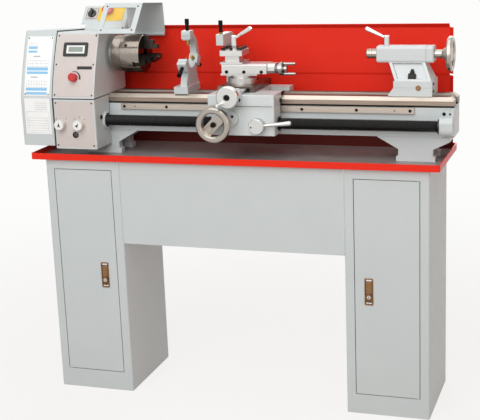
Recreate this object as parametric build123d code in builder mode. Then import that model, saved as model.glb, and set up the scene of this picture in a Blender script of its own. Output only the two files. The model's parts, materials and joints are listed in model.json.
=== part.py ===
"""Bench lathe on a two-cabinet stand, modelled piece by piece in millimetres.

+X runs from the headstock to the tailstock, -Y is the operator's side and +Z is up. The origin
lies on the floor, under the middle of the whole machine.
"""
import os
from math import atan2, cos, radians, sin, sqrt

from build123d import *

os.makedirs("parts", exist_ok=True)

# Overall sizes
BED_LENGTH = 1284.0
CENTRE_HEIGHT = 125.0
CABINET_HEIGHT = 801.0
HEAD_W = 148.0
COVER_W = 115.0
BRACKET_PROUD = 3.0

# Fits and clearances
SLIDE_GAP = 0.3
RUN_FIT = 0.06
SEAT_FIT = 0.02
JAW_FIT = 0.3

# Stand
SHEET = 2.0
CABINET_W = 264.0
CABINET_D = 329.0
CABINET_R = 5.0
CABINET_SETBACK = 15.0
CABINET_INSET_LEFT = 44.0
CABINET_INSET_RIGHT = 32.0
DOOR_W = 202.0
DOOR_H = 700.0
DOOR_BOTTOM = 67.0
DOOR_GAP = 2.0
DOOR_SHEET = 1.5
DOOR_FLANGE = 18.0
DOOR_PIVOT_INSET = 4.0
DOOR_PIN_R = 2.5
DOOR_PIN_REACH = 9.0
LUG_W = 16.0
LUG_D = 14.0
LUG_H = 12.0
LATCH_R = 9.0
LATCH_HEAD_R = 11.0
LATCH_HEAD = 2.0
LATCH_PROUD = 4.5
LATCH_Z = 393.0
LATCH_EDGE = 46.0
LATCH_CAM_W = 14.0
LATCH_CAM_L = 38.0
LATCH_CAM_T = 3.0
LATCH_KEY_W = 2.0
LATCH_KEY_L = 9.0
PANEL_H = 278.0
PANEL_FLANGE = 20.0
TRAY_H = 21.0
TRAY_LIP = 3.0
TRAY_R = 6.0
TRAY_PAST_COVER = 31.0
TRAY_SHORT_OF_BED = 21.0

# Splash guard
GUARD_GAP = 3.0
GUARD_BACK = 4.0
GUARD_CLEAR = 7.0
GUARD_HEM = 12.0
GUARD_CREASE_Z = 238.0
GUARD_CREASE = 2.0
GUARD_BEND_R = 3.0
GUARD_START = 13.0
GUARD_END = 11.0

# Bed
BED_LIFT = 76.0
BED_H = 124.0
WAY_FLAT = 50.0
WAY_HALF = 62.0
WAY_SLOPE = 11.0
WAY_EDGE = 14.0
WAY_UNDERCUT = 7.0
WEB_HALF = 55.0
SLOT_HALF = 22.0
SLOT_DEPTH = 44.0
WEB_WALL = 14.0
RIB_T = 18.0
RIB_BAYS = 7
WAY_END_CHAMFER = 10.0
FOOT_D = 120.0
FOOT_TUNNEL_D = 64.0
FOOT_TUNNEL_H = 56.0
FOOT_NECK_W = 107.0
FOOT_PAD_W = 121.0
FOOT_PAD_H = 16.0
FOOT_NECK_TOP = 38.0
FOOT_FLARE_IN = 67.0
FOOT_FLARE_OUT = 52.0
FOOT_FLARE_OUT_DROP = 13.0
LEFT_FOOT_AT = 121.5
RIGHT_FOOT_AT = 116.5
RACK_H = 18.0
RACK_T = 8.0
RACK_DROP = 33.0
RACK_START = 191.0
RACK_LENGTH = 973.0

# Headstock, gearbox, drive and controls
HEAD_FRONT = 175.0
HEAD_TOP_RISE = 82.0
HEAD_BULGE_SET = 30.0
HEAD_BULGE_DROP = 23.0
HEAD_TOP_SET = 75.0
HEAD_REAR = 135.0
HEAD_REAR_TOP_DROP = 18.0
HEAD_REAR_WALL = 72.0
HEAD_SKIRT_BACK = 82.0
HEAD_SKIRT_H = 57.0
HEAD_WALL = 12.0
GEARBOX_H = 162.0
GEARBOX_BELOW_TOP = 4.0
GEARBOX_WALL = 8.0
GEARBOX_R = 6.0
SELECTOR_R = 17.0
SELECTOR_H = 22.0
SELECTOR_EDGE = 1.5
SELECTOR_SHAFT_R = 5.0
SELECTOR_AT = (26.0, 92.0)
SELECTOR_Z = 81.0
SCREW_R = 9.0
SCREW_OUT = 92.0
SCREW_DROP = 83.0
SCREW_END_GAP = 1.0
SHAFT_CLEAR = 3.0
HOOD_BOSS_R = 12.0
HEAD_SLOT_HALF = 38.0
SEAM = 3.0
COVER_WALL = 2.5
COVER_BOTTOM = 157.0
COVER_TOP_EXTRA = 5.0
COVER_BACK = 148.0
COVER_HOLE_R = 21.0
COVER_LIP = 1.5
COVER_EDGE_R = 8.0
MOTOR_R = 44.0
MOTOR_OUT = 101.0
MOTOR_DROP = 61.0
MOTOR_SHAFT_R = 7.0
MOTOR_SHAFT_IN = 30.0
MOTOR_BELL = 20.0
MOTOR_FINS = 16
MOTOR_FIN_GAP = 5.0
MOTOR_FIN_DEPTH = 3.0
PULLEY_W = 36.0
PULLEY_SET = 4.0
PULLEY_FLANGE = 4.0
PULLEY_RIM = 4.0
MOTOR_PULLEY_R = 24.0
SPINDLE_PULLEY_R = 46.0
BELT_T = 3.0
BELT_GAP = 0.4
BELT_SIDE = 1.5
BEARING_R = 31.0
BEARING_RACE = 5.0
BEARING_GROOVE = 2.0
SPINDLE_R = 20.0
SPINDLE_BORE_R = 13.0
SPINDLE_TAIL = 72.0
SPINDLE_FLANGE_R = 45.0
SPINDLE_FLANGE_T = 12.0
SPINDLE_FLANGE_GAP = 3.0
BOX_FRONT = 98.0
BOX_BACK = 195.0
BOX_TOP = 140.0
BOX_LIP = 84.0
BOX_SLANT_BACK = 160.0
BOX_SEAT_BACK = 132.0
BOX_STEP = 140.0
BOX_WALL = 2.0
BOX_OVERHANG = 18.0
BUTTON_SHAFT_R = 6.0
BUTTON_SHAFT_IN = 14.0
ESTOP_HEAD_R = 20.0
ESTOP_HEAD_T = 12.0
ESTOP_COLLAR = 13.0
ESTOP_AT = 76.0
ESTOP_UP = 26.0
SWITCH_AT = 14.0
SWITCH_UP = 18.0
SWITCH_R = 15.0
SWITCH_H = 14.0
SWITCH_GRIP_W = 8.0
SPEED_KNOB_R = 15.0
SPEED_KNOB_H = 18.0
SPEED_KNOB_AT = 73.0
SPEED_KNOB_RISE = 65.0
SPEED_SHAFT_R = 4.0
KNOB_GAP = 0.5
KNOB_FLUTES = 8
KNOB_FLUTE_R = 2.0
KNOB_FACE = 0.8
KNOB_SHOULDER = 0.9
KNOB_CONE = 0.6
KNOB_BASE = 0.35

# Chuck
BACKPLATE_R = 59.0
BACKPLATE_T = 30.0
CHUCK_R = 62.5
CHUCK_T = 70.0
CHUCK_BORE_R = 16.0
CHUCK_CHAMFER = 2.0
CHUCK_GROOVE = 3.0
CHUCK_GROOVE_D = 3.5
NOSE_RECESS_R = 68.0
NOSE_RECESS = 5.0
JAWS = 3
JAW_W = 15.4
JAW_TONGUE_W = 21.4
JAW_TONGUE_T = 7.0
JAW_ROOT = 24.0
JAW_IN_R = 16.0
JAW_STEP = 14.0
JAW_LAND = 18.0
JAW_STEP_RISE = 14.5
KEY_R = 6.0
KEY_DEPTH = 18.0
KEY_BACK = 46.0

# Guard hood over the chuck
HOOD_W = 133.0
HOOD_GAP = 4.0
HOOD_PIVOT_OUT = 122.0
HOOD_PIVOT_RISE = 50.0
HOOD_PIVOT_R = 6.0
HOOD_PIVOT_IN = 28.0
HOOD_FRONT_FOOT = (-132.0, 79.0)
HOOD_FRONT_TOP = (-50.0, 168.0)
HOOD_REAR_TOP = (118.0, 154.0)
HOOD_BEND_R = 8.0
HOOD_WINDOW_W = 97.0
HOOD_WINDOW_H = 84.0
HOOD_WINDOW_R = 6.0
PANE_LAP = 10.0
PANE_T = 3.0

# Leadscrew, bellows and end bracket
BELLOWS_R = 18.0
BELLOWS_BORE_R = 10.0
BELLOWS_FLANGE_R = 23.0
BELLOWS_FLANGE_T = 6.0
BRACKET_W = 40.0
BRACKET_H = 58.0
BRACKET_TAB = 18.0
BRACKET_OUT = 110.0
BRACKET_R = 20.0

# Carriage
CARRIAGE_AT = 377.0
SADDLE_W = 217.0
SADDLE_FRONT = 140.0
SADDLE_BACK = 85.0
SADDLE_TOP = 13.0
SADDLE_SKIRT = 22.0
SADDLE_REAR_SKIRT = 18.0
SADDLE_NOTCH_D = 76.0
SADDLE_NOTCH_LEFT = 17.0
SADDLE_NOTCH_RIGHT = 62.0
SADDLE_EDGE = 3.0
CROSS_AT = 76.0
DOVETAIL_TOP = 76.0
DOVETAIL_H = 12.0
DOVETAIL_TAPER = 7.0
SCREW_PLATE_W = 60.0
SCREW_PLATE_T = 14.0
SCREW_PLATE_H = 51.0
SCREW_PLATE_DROP = 18.0
CROSS_SHAFT_R = 6.0
CROSS_SHAFT_AT = 83.0
CROSS_SHAFT_RISE = 13.0
APRON_W = 209.0
APRON_CLEAR = 10.0
APRON_H = 93.0
APRON_WALL = 8.0
APRON_R = 6.0
APRON_WHEEL_AT = 28.0
APRON_WHEEL_DROP = 72.0
APRON_WHEEL_R = 55.0
APRON_WHEEL_RIM = 18.0
APRON_WHEEL_T = 27.0
APRON_WHEEL_OUT = 212.0
APRON_HUB_R = 17.0
APRON_SHAFT_R = 9.0
APRON_SHAFT_IN = 25.0
APRON_SPOKES = 2
APRON_BAR_W = 34.0
APRON_BAR_TURN = 45.0
APRON_BOSS_R = 24.0
APRON_BOSS_T = 9.0
APRON_BOSS_RUN = 42.0
APRON_BOSS_TURN = 16.0
SPOKE_T = 9.0
RIM_EDGE = 4.0
LEVER_HUB_R = 24.5
LEVER_HUB_EDGE = 1.5
LEVER_HUB_T = 29.5
LEVER_AT = 156.0
LEVER_DROP = 82.0
LEVER_SHAFT_R = 8.0
LEVER_SHAFT_IN = 20.0
LEVER_ROD_R = 3.5
LEVER_ROD_L = 112.0
LEVER_RISE = 12.0
LEVER_END_R = 8.0
CROSS_W = 120.0
CROSS_LEFT = 18.0
CROSS_T = 19.7
CROSS_FRONT = 95.0
CROSS_BACK = 100.0
TSLOT_W = 8.0
TSLOT_D = 5.0
TSLOT_FOOT_W = 14.0
TSLOT_FOOT = 2.0
TSLOT_PITCH = 50.0
TSLOT_LENGTH = 58.0
CROSS_WHEEL_R = 35.0
CROSS_WHEEL_T = 20.0
CROSS_WHEEL_OUT = 54.0
CROSS_DIAL_R = 22.0
CROSS_HOLE_R = 11.0
CROSS_HOLE = 5.0
CROSS_CRANK_AT = 26.0
CROSS_CRANK_TURN = 228.0
CROSS_CRANK_L = 46.0
CROSS_CRANK_R = 4.0
CROSS_CRANK_END_R = 5.5
WHEEL_EDGE = 3.0

# Compound slide, tool post and their levers
SWIVEL_Y = -15.0
SWIVEL_R = 46.0
SWIVEL_T = 18.0
SWIVEL_NECK_R = 35.0
SWIVEL_NECK_T = 9.0
SWIVEL_PIN_R = 12.0
SWIVEL_PIN_L = 6.0
TOP_PLATE_L = 122.0
TOP_PLATE_LEFT = 62.0
TOP_PLATE_W = 64.0
TOP_PLATE_T = 6.0
TOP_DOVETAIL = 46.0
TOP_DOVETAIL_L = 100.0
COMPOUND_END = 20.0
TOP_DOVETAIL_H = 12.0
COMPOUND_L = 149.0
COMPOUND_LEFT = 56.0
COMPOUND_W = 76.0
COMPOUND_T = 30.0
GIB_HOLE_R = 4.0
GIB_HOLES = 3
GIB_PITCH = 58.0
STUD_R = 8.0
STUD_BACK = 24.0
STUD_H = 50.0
STUD_IN = 10.0
END_BLOCK_L = 24.0
END_BLOCK_W = 58.0
END_BLOCK_R = 9.0
DIAL_R = 22.0
DIAL_COLLAR_R = 14.0
DIAL_COLLAR_L = 9.0
DIAL_T = 12.0
DIAL_HUB_R = 9.0
DIAL_EDGE = 2.0
DIAL_DROP = 18.0
CROSSBAR_R = 4.0
CROSSBAR_SET = 6.0
CROSSBAR_L = 32.0
CROSSBAR_TIP = 34.0
GRIP_R = 4.5
HANDLE_SHAFT_R = 5.0
HANDLE_SHAFT_IN = 16.0
POST_W = 76.0
POST_NECK_W = 47.0
POST_PLATE_T = 6.0
POST_NECK_H = 20.0
POST_TOP_T = 17.0
POST_BORE_FIT = 0.08
POST_HUB_R = 10.0
POST_HUB_H = 44.0
POST_LEVER_R = 3.5
POST_LEVER_DX = 60.0
POST_LEVER_DZ = 34.0

# Follow rest and steady rest
FOLLOW_W = 24.0
FOLLOW_OVERHANG = 8.0
FOLLOW_ARM_T = 18.0
FOLLOW_ARM_BACK = 72.0
FOLLOW_CLEAR = 12.1
FOLLOW_BLOCK_FRONT = 15.0
FOLLOW_BLOCK_H = 35.0
FOLLOW_CORNER_R = 14.0
FOLLOW_REAR_TIP = 65.0
FOLLOW_TOP_TIP = 30.0
FOLLOW_KNOB_LIFT = 26.0
FINGER_R = 6.0
FINGER_TIP_R = 4.0
FINGER_TIP_L = 6.0
FINGER_KNOB_R = 7.0
FINGER_KNOB_L = 18.0
STEADY_AT = 266.0
STEADY_T = 22.0
STEADY_BASE_LEFT = 34.0
STEADY_BASE_RIGHT = 14.0
STEADY_BASE_H = 22.7
STEADY_BASE_HALF = 58.0
STEADY_NECK_HALF = 34.0
STEADY_R = 66.0
STEADY_BORE_R = 46.0
STEADY_BOSS_W = 34.0
STEADY_BOSS_R = 74.0
STEADY_BOSS_T = 30.0
STEADY_BOSS_EDGE = 4.0
STEADY_OPEN_FROM = 108.0
STEADY_OPEN_TO = 196.0
STEADY_FINGERS = (90.0, 213.0, 333.0)
STEADY_TIP_AT = 26.0
STEADY_KNOB_AT = 94.0
TONGUE_H = 14.0

# Tailstock
TAIL_AT = 67.0
TAIL_BASE_L = 135.0
TAIL_BASE_H = 26.7
TAIL_BASE_HALF = 52.0
TAIL_TOE_H = 6.0
TAIL_SEAT_L = 119.0
TAIL_SEAT_H = 20.0
TAIL_SEAT_EDGE = 1.0
TAIL_NECK_AT = 4.0
TAIL_NECK_L = 112.0
TAIL_NECK_LEAN = 33.0
TAIL_NECK_FOOT_HALF = 47.0
TAIL_NECK_TOP_HALF = 12.0
TAIL_RIM = 10.0
TAIL_POCKET = 9.0
TAIL_POCKET_FOOT = 6.0
BARREL_HALF = 25.5
BARREL_R = 9.0
BARREL_EDGE = 3.0
BARREL_CAP = 24.0
BARREL_SEAM = 2.5
BARREL_SEAM_D = 1.2
BARREL_L = 177.0
BARREL_END = 10.0
QUILL_R = 15.0
QUILL_PROUD = 34.0
QUILL_L = 197.0
QUILL_BORE_R = 7.0
QUILL_BORE_DEPTH = 70.0
QUILL_CHAMFER = 2.0
TAIL_SHAFT_R = 6.0
TAIL_SLEEVE_R = 13.0
TAIL_SLEEVE_L = 40.0
TAIL_FLARE_AT = 22.0
TAIL_HUB_R = 24.0
TAIL_WHEEL_R = 53.5
TAIL_WHEEL_T = 16.0
TAIL_WHEEL_RIM = 15.0
TAIL_SPOKES = 3
TAIL_SPOKE_W = 13.0
TAIL_SPOKE_TURN = 90.0
QUILL_LEVER_AT = 28.0
QUILL_HUB_R = 9.0
QUILL_HUB_H = 31.0
QUILL_PIN_R = 5.0
QUILL_PIN_IN = 8.0
QUILL_LEVER_R = 3.0
QUILL_LEVER_DX = 66.0
QUILL_LEVER_DZ = 30.0
LEVER_TIP_R = 7.0

# Datum lines, worked out from the sizes above
OVERALL = COVER_W + SEAM + BED_LENGTH + BRACKET_PROUD
COVER_LEFT_X = -OVERALL / 2
PLATE_X = COVER_LEFT_X + COVER_W
HEAD_LEFT_X = PLATE_X + SEAM
HEAD_RIGHT_X = HEAD_LEFT_X + HEAD_W
HEAD_MID_X = HEAD_LEFT_X + HEAD_W / 2
BED_RIGHT_X = HEAD_LEFT_X + BED_LENGTH
BED_MID_X = HEAD_LEFT_X + BED_LENGTH / 2
TRAY_LEFT_X = COVER_LEFT_X + TRAY_PAST_COVER
TRAY_RIGHT_X = BED_RIGHT_X - TRAY_SHORT_OF_BED
CROSS_WHEEL_Y = SADDLE_FRONT + SCREW_PLATE_T / 2 + CROSS_WHEEL_OUT
SPINDLE_Y = (CROSS_WHEEL_Y + CROSS_CRANK_L - BOX_BACK) / 2
FRONT_Y = SPINDLE_Y - HEAD_FRONT
TRAY_FRONT_Y = FRONT_Y - CABINET_SETBACK
GUARD_Y = SPINDLE_Y + COVER_BACK + GUARD_GAP
TRAY_BACK_Y = GUARD_Y + SHEET + GUARD_BACK
CABINET_MID_Y = FRONT_Y + CABINET_D / 2
TRAY_FLOOR_Z = CABINET_HEIGHT + SHEET
BED_BOTTOM_Z = TRAY_FLOOR_Z + BED_LIFT
BED_TOP_Z = BED_BOTTOM_Z + BED_H
SPINDLE_Z = BED_TOP_Z + CENTRE_HEIGHT
HEAD_TOP_Z = SPINDLE_Z + HEAD_TOP_RISE
GUARD_TOP_Z = SPINDLE_Z + BOX_LIP - GUARD_CLEAR
SCREW_Y = SPINDLE_Y - SCREW_OUT
SCREW_Z = BED_TOP_Z - SCREW_DROP
MOTOR_Y = SPINDLE_Y + MOTOR_OUT
MOTOR_Z = BED_TOP_Z - MOTOR_DROP
GEARBOX_TOP_Z = BED_TOP_Z - GEARBOX_BELOW_TOP
GEARBOX_BOTTOM_Z = GEARBOX_TOP_Z - GEARBOX_H
GEARBOX_BACK_Y = SPINDLE_Y - WAY_HALF - SLIDE_GAP
SPINDLE_AXIS = Axis((0, SPINDLE_Y, SPINDLE_Z), (1, 0, 0))
LEFT_CABINET_X = TRAY_LEFT_X + CABINET_INSET_LEFT
RIGHT_CABINET_X = TRAY_RIGHT_X - CABINET_INSET_RIGHT - CABINET_W


def across(x):
    """Plane square to the bed at x: its first direction is machine Y from the spindle, its second is Z."""
    return Plane(origin=(x, SPINDLE_Y, 0), x_dir=(0, 1, 0), z_dir=(1, 0, 0))


def facing(y):
    """Plane parallel to the front at machine y: sketched in X and Z, its normal towards the operator."""
    return Plane.XZ.offset(-y)


def turning_plane(axis):
    """Plane through an axis: sketched as distance along the axis and radius, to be revolved."""
    side = Vector(0, 0, 1)
    if abs(axis.direction.Z) > abs(axis.direction.Y) and abs(axis.direction.Z) > abs(axis.direction.X):
        side = Vector(0, 1, 0)
    return Plane(origin=axis.position, x_dir=axis.direction, z_dir=axis.direction.cross(side))


def turned(axis, *profile):
    """Solid turned about an axis from a closed profile of (distance along it, radius) points."""
    with BuildPart() as body:
        with BuildSketch(turning_plane(axis)):
            with BuildLine():
                Polyline(*profile, close=True)
            make_face()
        revolve(axis=axis)
    return body.part


def rod(axis, start, end, radius):
    """Plain round rod or bore cutter along an axis, between two distances along it."""
    return turned(axis, (start, 0), (end, 0), (end, radius), (start, radius))


def circle_through(first, second, third):
    """Centre of the circle through three (y, z) points."""
    (ay, az), (by, bz), (cy, cz) = first, second, third
    twice_area = 2 * (ay * (bz - cz) + by * (cz - az) + cy * (az - bz))
    a_sq = ay * ay + az * az
    b_sq = by * by + bz * bz
    c_sq = cy * cy + cz * cz
    centre_y = (a_sq * (bz - cz) + b_sq * (cz - az) + c_sq * (az - bz)) / twice_area
    centre_z = (a_sq * (cy - by) + b_sq * (ay - cy) + c_sq * (by - ay)) / twice_area
    return centre_y, centre_z


# Stand: two sheet cabinets, their doors and latches, the panel between them and the chip tray
def door_pivot_x(mid_x, hinge_side):
    """X of a door's pivot, with hinge_side -1 for a left-hung door and 1 for a right-hung one."""
    return mid_x + hinge_side * (DOOR_W / 2 - DOOR_PIVOT_INSET)


def latch_axis(mid_x, hinge_side):
    """Axis of the lock on the free side of a door, pointing at the operator."""
    latch_x = mid_x - hinge_side * (DOOR_W / 2 + DOOR_GAP - LATCH_EDGE)
    return Axis((latch_x, FRONT_Y, LATCH_Z), (0, -1, 0))


def pivot_axis(mid_x, hinge_side):
    """Upright axis of a door's pins."""
    return Axis((door_pivot_x(mid_x, hinge_side), FRONT_Y + DOOR_PIVOT_INSET, 0), (0, 0, 1))


def make_cabinet(left_x, hinge_side):
    """Folded sheet cabinet with a door opening and two hinge lugs."""
    mid_x = left_x + CABINET_W / 2
    pin_axis = pivot_axis(mid_x, hinge_side)
    low_lug_z = DOOR_BOTTOM - DOOR_GAP - LUG_H
    high_lug_z = DOOR_BOTTOM + DOOR_H + DOOR_GAP
    pin_bore = rod(pin_axis, low_lug_z, high_lug_z + LUG_H, DOOR_PIN_R + RUN_FIT)
    with BuildPart() as body:
        with BuildSketch(Plane.XY):
            with Locations((mid_x, CABINET_MID_Y)):
                RectangleRounded(CABINET_W, CABINET_D, CABINET_R)
        extrude(amount=CABINET_HEIGHT)
        with BuildSketch(Plane.XY.offset(SHEET)):
            with Locations((mid_x, CABINET_MID_Y)):
                RectangleRounded(CABINET_W - 2 * SHEET, CABINET_D - 2 * SHEET, CABINET_R - SHEET)
        extrude(amount=CABINET_HEIGHT - 2 * SHEET, mode=Mode.SUBTRACT)
        with BuildSketch(facing(FRONT_Y)):
            with Locations((mid_x, DOOR_BOTTOM + DOOR_H / 2)):
                Rectangle(DOOR_W + 2 * DOOR_GAP, DOOR_H + 2 * DOOR_GAP)
        extrude(amount=-SHEET, mode=Mode.SUBTRACT)
        for lug_z in (low_lug_z, high_lug_z):
            with BuildSketch(Plane.XY.offset(lug_z)):
                with Locations((pin_axis.position.X, FRONT_Y + LUG_D / 2)):
                    Rectangle(LUG_W, LUG_D)
            extrude(amount=LUG_H)
        add(pin_bore, mode=Mode.SUBTRACT)
    return body.part


def make_door(left_x, hinge_side):
    """Folded door pan with a pin at each end of its hinge side and a bore for the latch."""
    mid_x = left_x + CABINET_W / 2
    pin_axis = pivot_axis(mid_x, hinge_side)
    door_top = DOOR_BOTTOM + DOOR_H
    low_pin = rod(pin_axis, DOOR_BOTTOM - DOOR_PIN_REACH, DOOR_BOTTOM + DOOR_SHEET, DOOR_PIN_R)
    high_pin = rod(pin_axis, door_top - DOOR_SHEET, door_top + DOOR_PIN_REACH, DOOR_PIN_R)
    latch_bore = rod(latch_axis(mid_x, hinge_side), -DOOR_FLANGE, 0, LATCH_R + RUN_FIT)
    with BuildPart() as body:
        with BuildSketch(facing(FRONT_Y)):
            with Locations((mid_x, DOOR_BOTTOM + DOOR_H / 2)):
                Rectangle(DOOR_W, DOOR_H)
        extrude(amount=-DOOR_FLANGE)
        offset(amount=-DOOR_SHEET, openings=body.faces().sort_by(Axis.Y)[-1])
        add(low_pin)
        add(high_pin)
        add(latch_bore, mode=Mode.SUBTRACT)
    return body.part


def make_latch(left_x, hinge_side):
    """Key cylinder with a head in front of the door and a cam tongue behind its flange."""
    mid_x = left_x + CABINET_W / 2
    axis = latch_axis(mid_x, hinge_side)
    cam_y = FRONT_Y + DOOR_FLANGE + SLIDE_GAP
    barrel = turned(
        axis,
        (LATCH_PROUD, 0),
        (LATCH_PROUD, LATCH_HEAD_R),
        (LATCH_PROUD - LATCH_HEAD, LATCH_HEAD_R),
        (LATCH_PROUD - LATCH_HEAD, LATCH_R),
        (-DOOR_FLANGE - SLIDE_GAP - LATCH_CAM_T, LATCH_R),
        (-DOOR_FLANGE - SLIDE_GAP - LATCH_CAM_T, 0),
    )
    with BuildPart() as body:
        add(barrel)
        with BuildSketch(facing(cam_y)):
            with Locations((axis.position.X - hinge_side * LATCH_CAM_L / 2, LATCH_Z)):
                SlotOverall(LATCH_CAM_L, LATCH_CAM_W)
        extrude(amount=-LATCH_CAM_T)
        with BuildSketch(facing(FRONT_Y - LATCH_PROUD)):
            with Locations((axis.position.X, LATCH_Z)):
                Rectangle(LATCH_KEY_W, LATCH_KEY_L)
        extrude(amount=-LATCH_HEAD, mode=Mode.SUBTRACT)
    return body.part


for side_name, side_left_x, side_hinge in (("left", LEFT_CABINET_X, -1), ("right", RIGHT_CABINET_X, 1)):
    for piece_name, make_piece in (("cabinet", make_cabinet), ("door", make_door), ("latch", make_latch)):
        stand_piece = make_piece(side_left_x, side_hinge)
        stand_piece.label = f"{side_name}_{piece_name}"
        export_step(stand_piece, f"parts/{side_name}_{piece_name}.step")

with BuildPart() as knee_panel:
    with BuildSketch(Plane.YZ.offset(LEFT_CABINET_X + CABINET_W)):
        with Locations((FRONT_Y, CABINET_HEIGHT)):
            Rectangle(PANEL_FLANGE, PANEL_H, align=(Align.MIN, Align.MAX))
        with Locations((FRONT_Y + SHEET, CABINET_HEIGHT - SHEET)):
            Rectangle(PANEL_FLANGE, PANEL_H - 2 * SHEET, align=(Align.MIN, Align.MAX), mode=Mode.SUBTRACT)
    extrude(amount=RIGHT_CABINET_X - LEFT_CABINET_X - CABINET_W)
knee_panel.part.label = "knee_panel"
export_step(knee_panel.part, "parts/knee_panel.step")

TRAY_MID = ((TRAY_LEFT_X + TRAY_RIGHT_X) / 2, (TRAY_FRONT_Y + TRAY_BACK_Y) / 2)
TRAY_L = TRAY_RIGHT_X - TRAY_LEFT_X
TRAY_D = TRAY_BACK_Y - TRAY_FRONT_Y
with BuildPart() as chip_tray:
    with BuildSketch(Plane.XY.offset(CABINET_HEIGHT)):
        with Locations(TRAY_MID):
            RectangleRounded(TRAY_L, TRAY_D, TRAY_R)
    extrude(amount=TRAY_H)
    with BuildSketch(Plane.XY.offset(TRAY_FLOOR_Z)):
        with Locations(TRAY_MID):
            RectangleRounded(TRAY_L - 2 * TRAY_LIP, TRAY_D - 2 * TRAY_LIP, TRAY_R - TRAY_LIP)
    extrude(amount=TRAY_H, mode=Mode.SUBTRACT)
chip_tray.part.label = "chip_tray"
export_step(chip_tray.part, "parts/chip_tray.step")

GUARD_LEFT_X = HEAD_LEFT_X + GUARD_START
GUARD_RIGHT_X = TRAY_RIGHT_X - GUARD_END
GUARD_MID_Y = GUARD_Y + SHEET / 2
CREASE_Z = TRAY_FLOOR_Z + GUARD_CREASE_Z
HEM_Z = GUARD_TOP_Z - GUARD_HEM
with BuildPart() as splash_guard:
    with BuildSketch(Plane.YZ.offset(GUARD_LEFT_X)):
        with BuildLine():
            FilletPolyline(
                (GUARD_MID_Y, TRAY_FLOOR_Z),
                (GUARD_MID_Y, CREASE_Z),
                (GUARD_MID_Y - GUARD_CREASE, CREASE_Z + 2 * GUARD_BEND_R),
                (GUARD_MID_Y - GUARD_CREASE, HEM_Z),
                (GUARD_MID_Y - GUARD_CREASE - GUARD_HEM, GUARD_TOP_Z),
                radius=GUARD_BEND_R,
            )
        trace(line_width=SHEET)
    extrude(amount=GUARD_RIGHT_X - GUARD_HEM - GUARD_LEFT_X)
    for hem_z, hem_top_z, hem_y in (
        (TRAY_FLOOR_Z, CREASE_Z, GUARD_MID_Y),
        (CREASE_Z + 2 * GUARD_BEND_R, HEM_Z, GUARD_MID_Y - GUARD_CREASE),
    ):
        with BuildSketch(Plane.XY.offset(hem_z)):
            with BuildLine():
                FilletPolyline(
                    (GUARD_RIGHT_X - 2 * GUARD_HEM, hem_y),
                    (GUARD_RIGHT_X - GUARD_HEM, hem_y),
                    (GUARD_RIGHT_X, hem_y - GUARD_HEM),
                    radius=GUARD_BEND_R,
                )
            trace(line_width=SHEET)
        extrude(amount=hem_top_z - hem_z)
splash_guard.part.label = "splash_guard"
export_step(splash_guard.part, "parts/splash_guard.step")

# Bed: one casting with sloped ways, a through slot, ribbed web and two flared feet
WAY_LOW_Z = BED_TOP_Z - WAY_SLOPE - WAY_EDGE
BAY_PITCH = (BED_LENGTH - RIB_T) / RIB_BAYS
LEFT_FOOT_X = HEAD_LEFT_X + LEFT_FOOT_AT
RIGHT_FOOT_X = BED_RIGHT_X - RIGHT_FOOT_AT
NECK_HALF = FOOT_NECK_W / 2
PAD_HALF = FOOT_PAD_W / 2


def foot_outline(mid_x, inner_side):
    """Outline of a foot seen from the front, with its long flare towards inner_side."""
    neck_z = TRAY_FLOOR_Z + FOOT_NECK_TOP
    outer_z = BED_BOTTOM_Z - FOOT_FLARE_OUT_DROP
    with BuildSketch(facing(SPINDLE_Y - FOOT_D / 2)) as outline:
        with BuildLine():
            Polyline(
                (mid_x - inner_side * PAD_HALF, TRAY_FLOOR_Z),
                (mid_x - inner_side * PAD_HALF, TRAY_FLOOR_Z + FOOT_PAD_H),
                (mid_x - inner_side * NECK_HALF, TRAY_FLOOR_Z + FOOT_PAD_H),
                (mid_x - inner_side * NECK_HALF, neck_z),
                (mid_x - inner_side * (NECK_HALF + FOOT_FLARE_OUT), outer_z),
                (mid_x - inner_side * (NECK_HALF + FOOT_FLARE_OUT), BED_BOTTOM_Z),
                (mid_x + inner_side * (NECK_HALF + FOOT_FLARE_IN), BED_BOTTOM_Z),
                (mid_x + inner_side * NECK_HALF, neck_z),
                (mid_x + inner_side * NECK_HALF, TRAY_FLOOR_Z + FOOT_PAD_H),
                (mid_x + inner_side * PAD_HALF, TRAY_FLOOR_Z + FOOT_PAD_H),
                (mid_x + inner_side * PAD_HALF, TRAY_FLOOR_Z),
                close=True,
            )
        make_face()
    return outline.sketch


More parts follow.
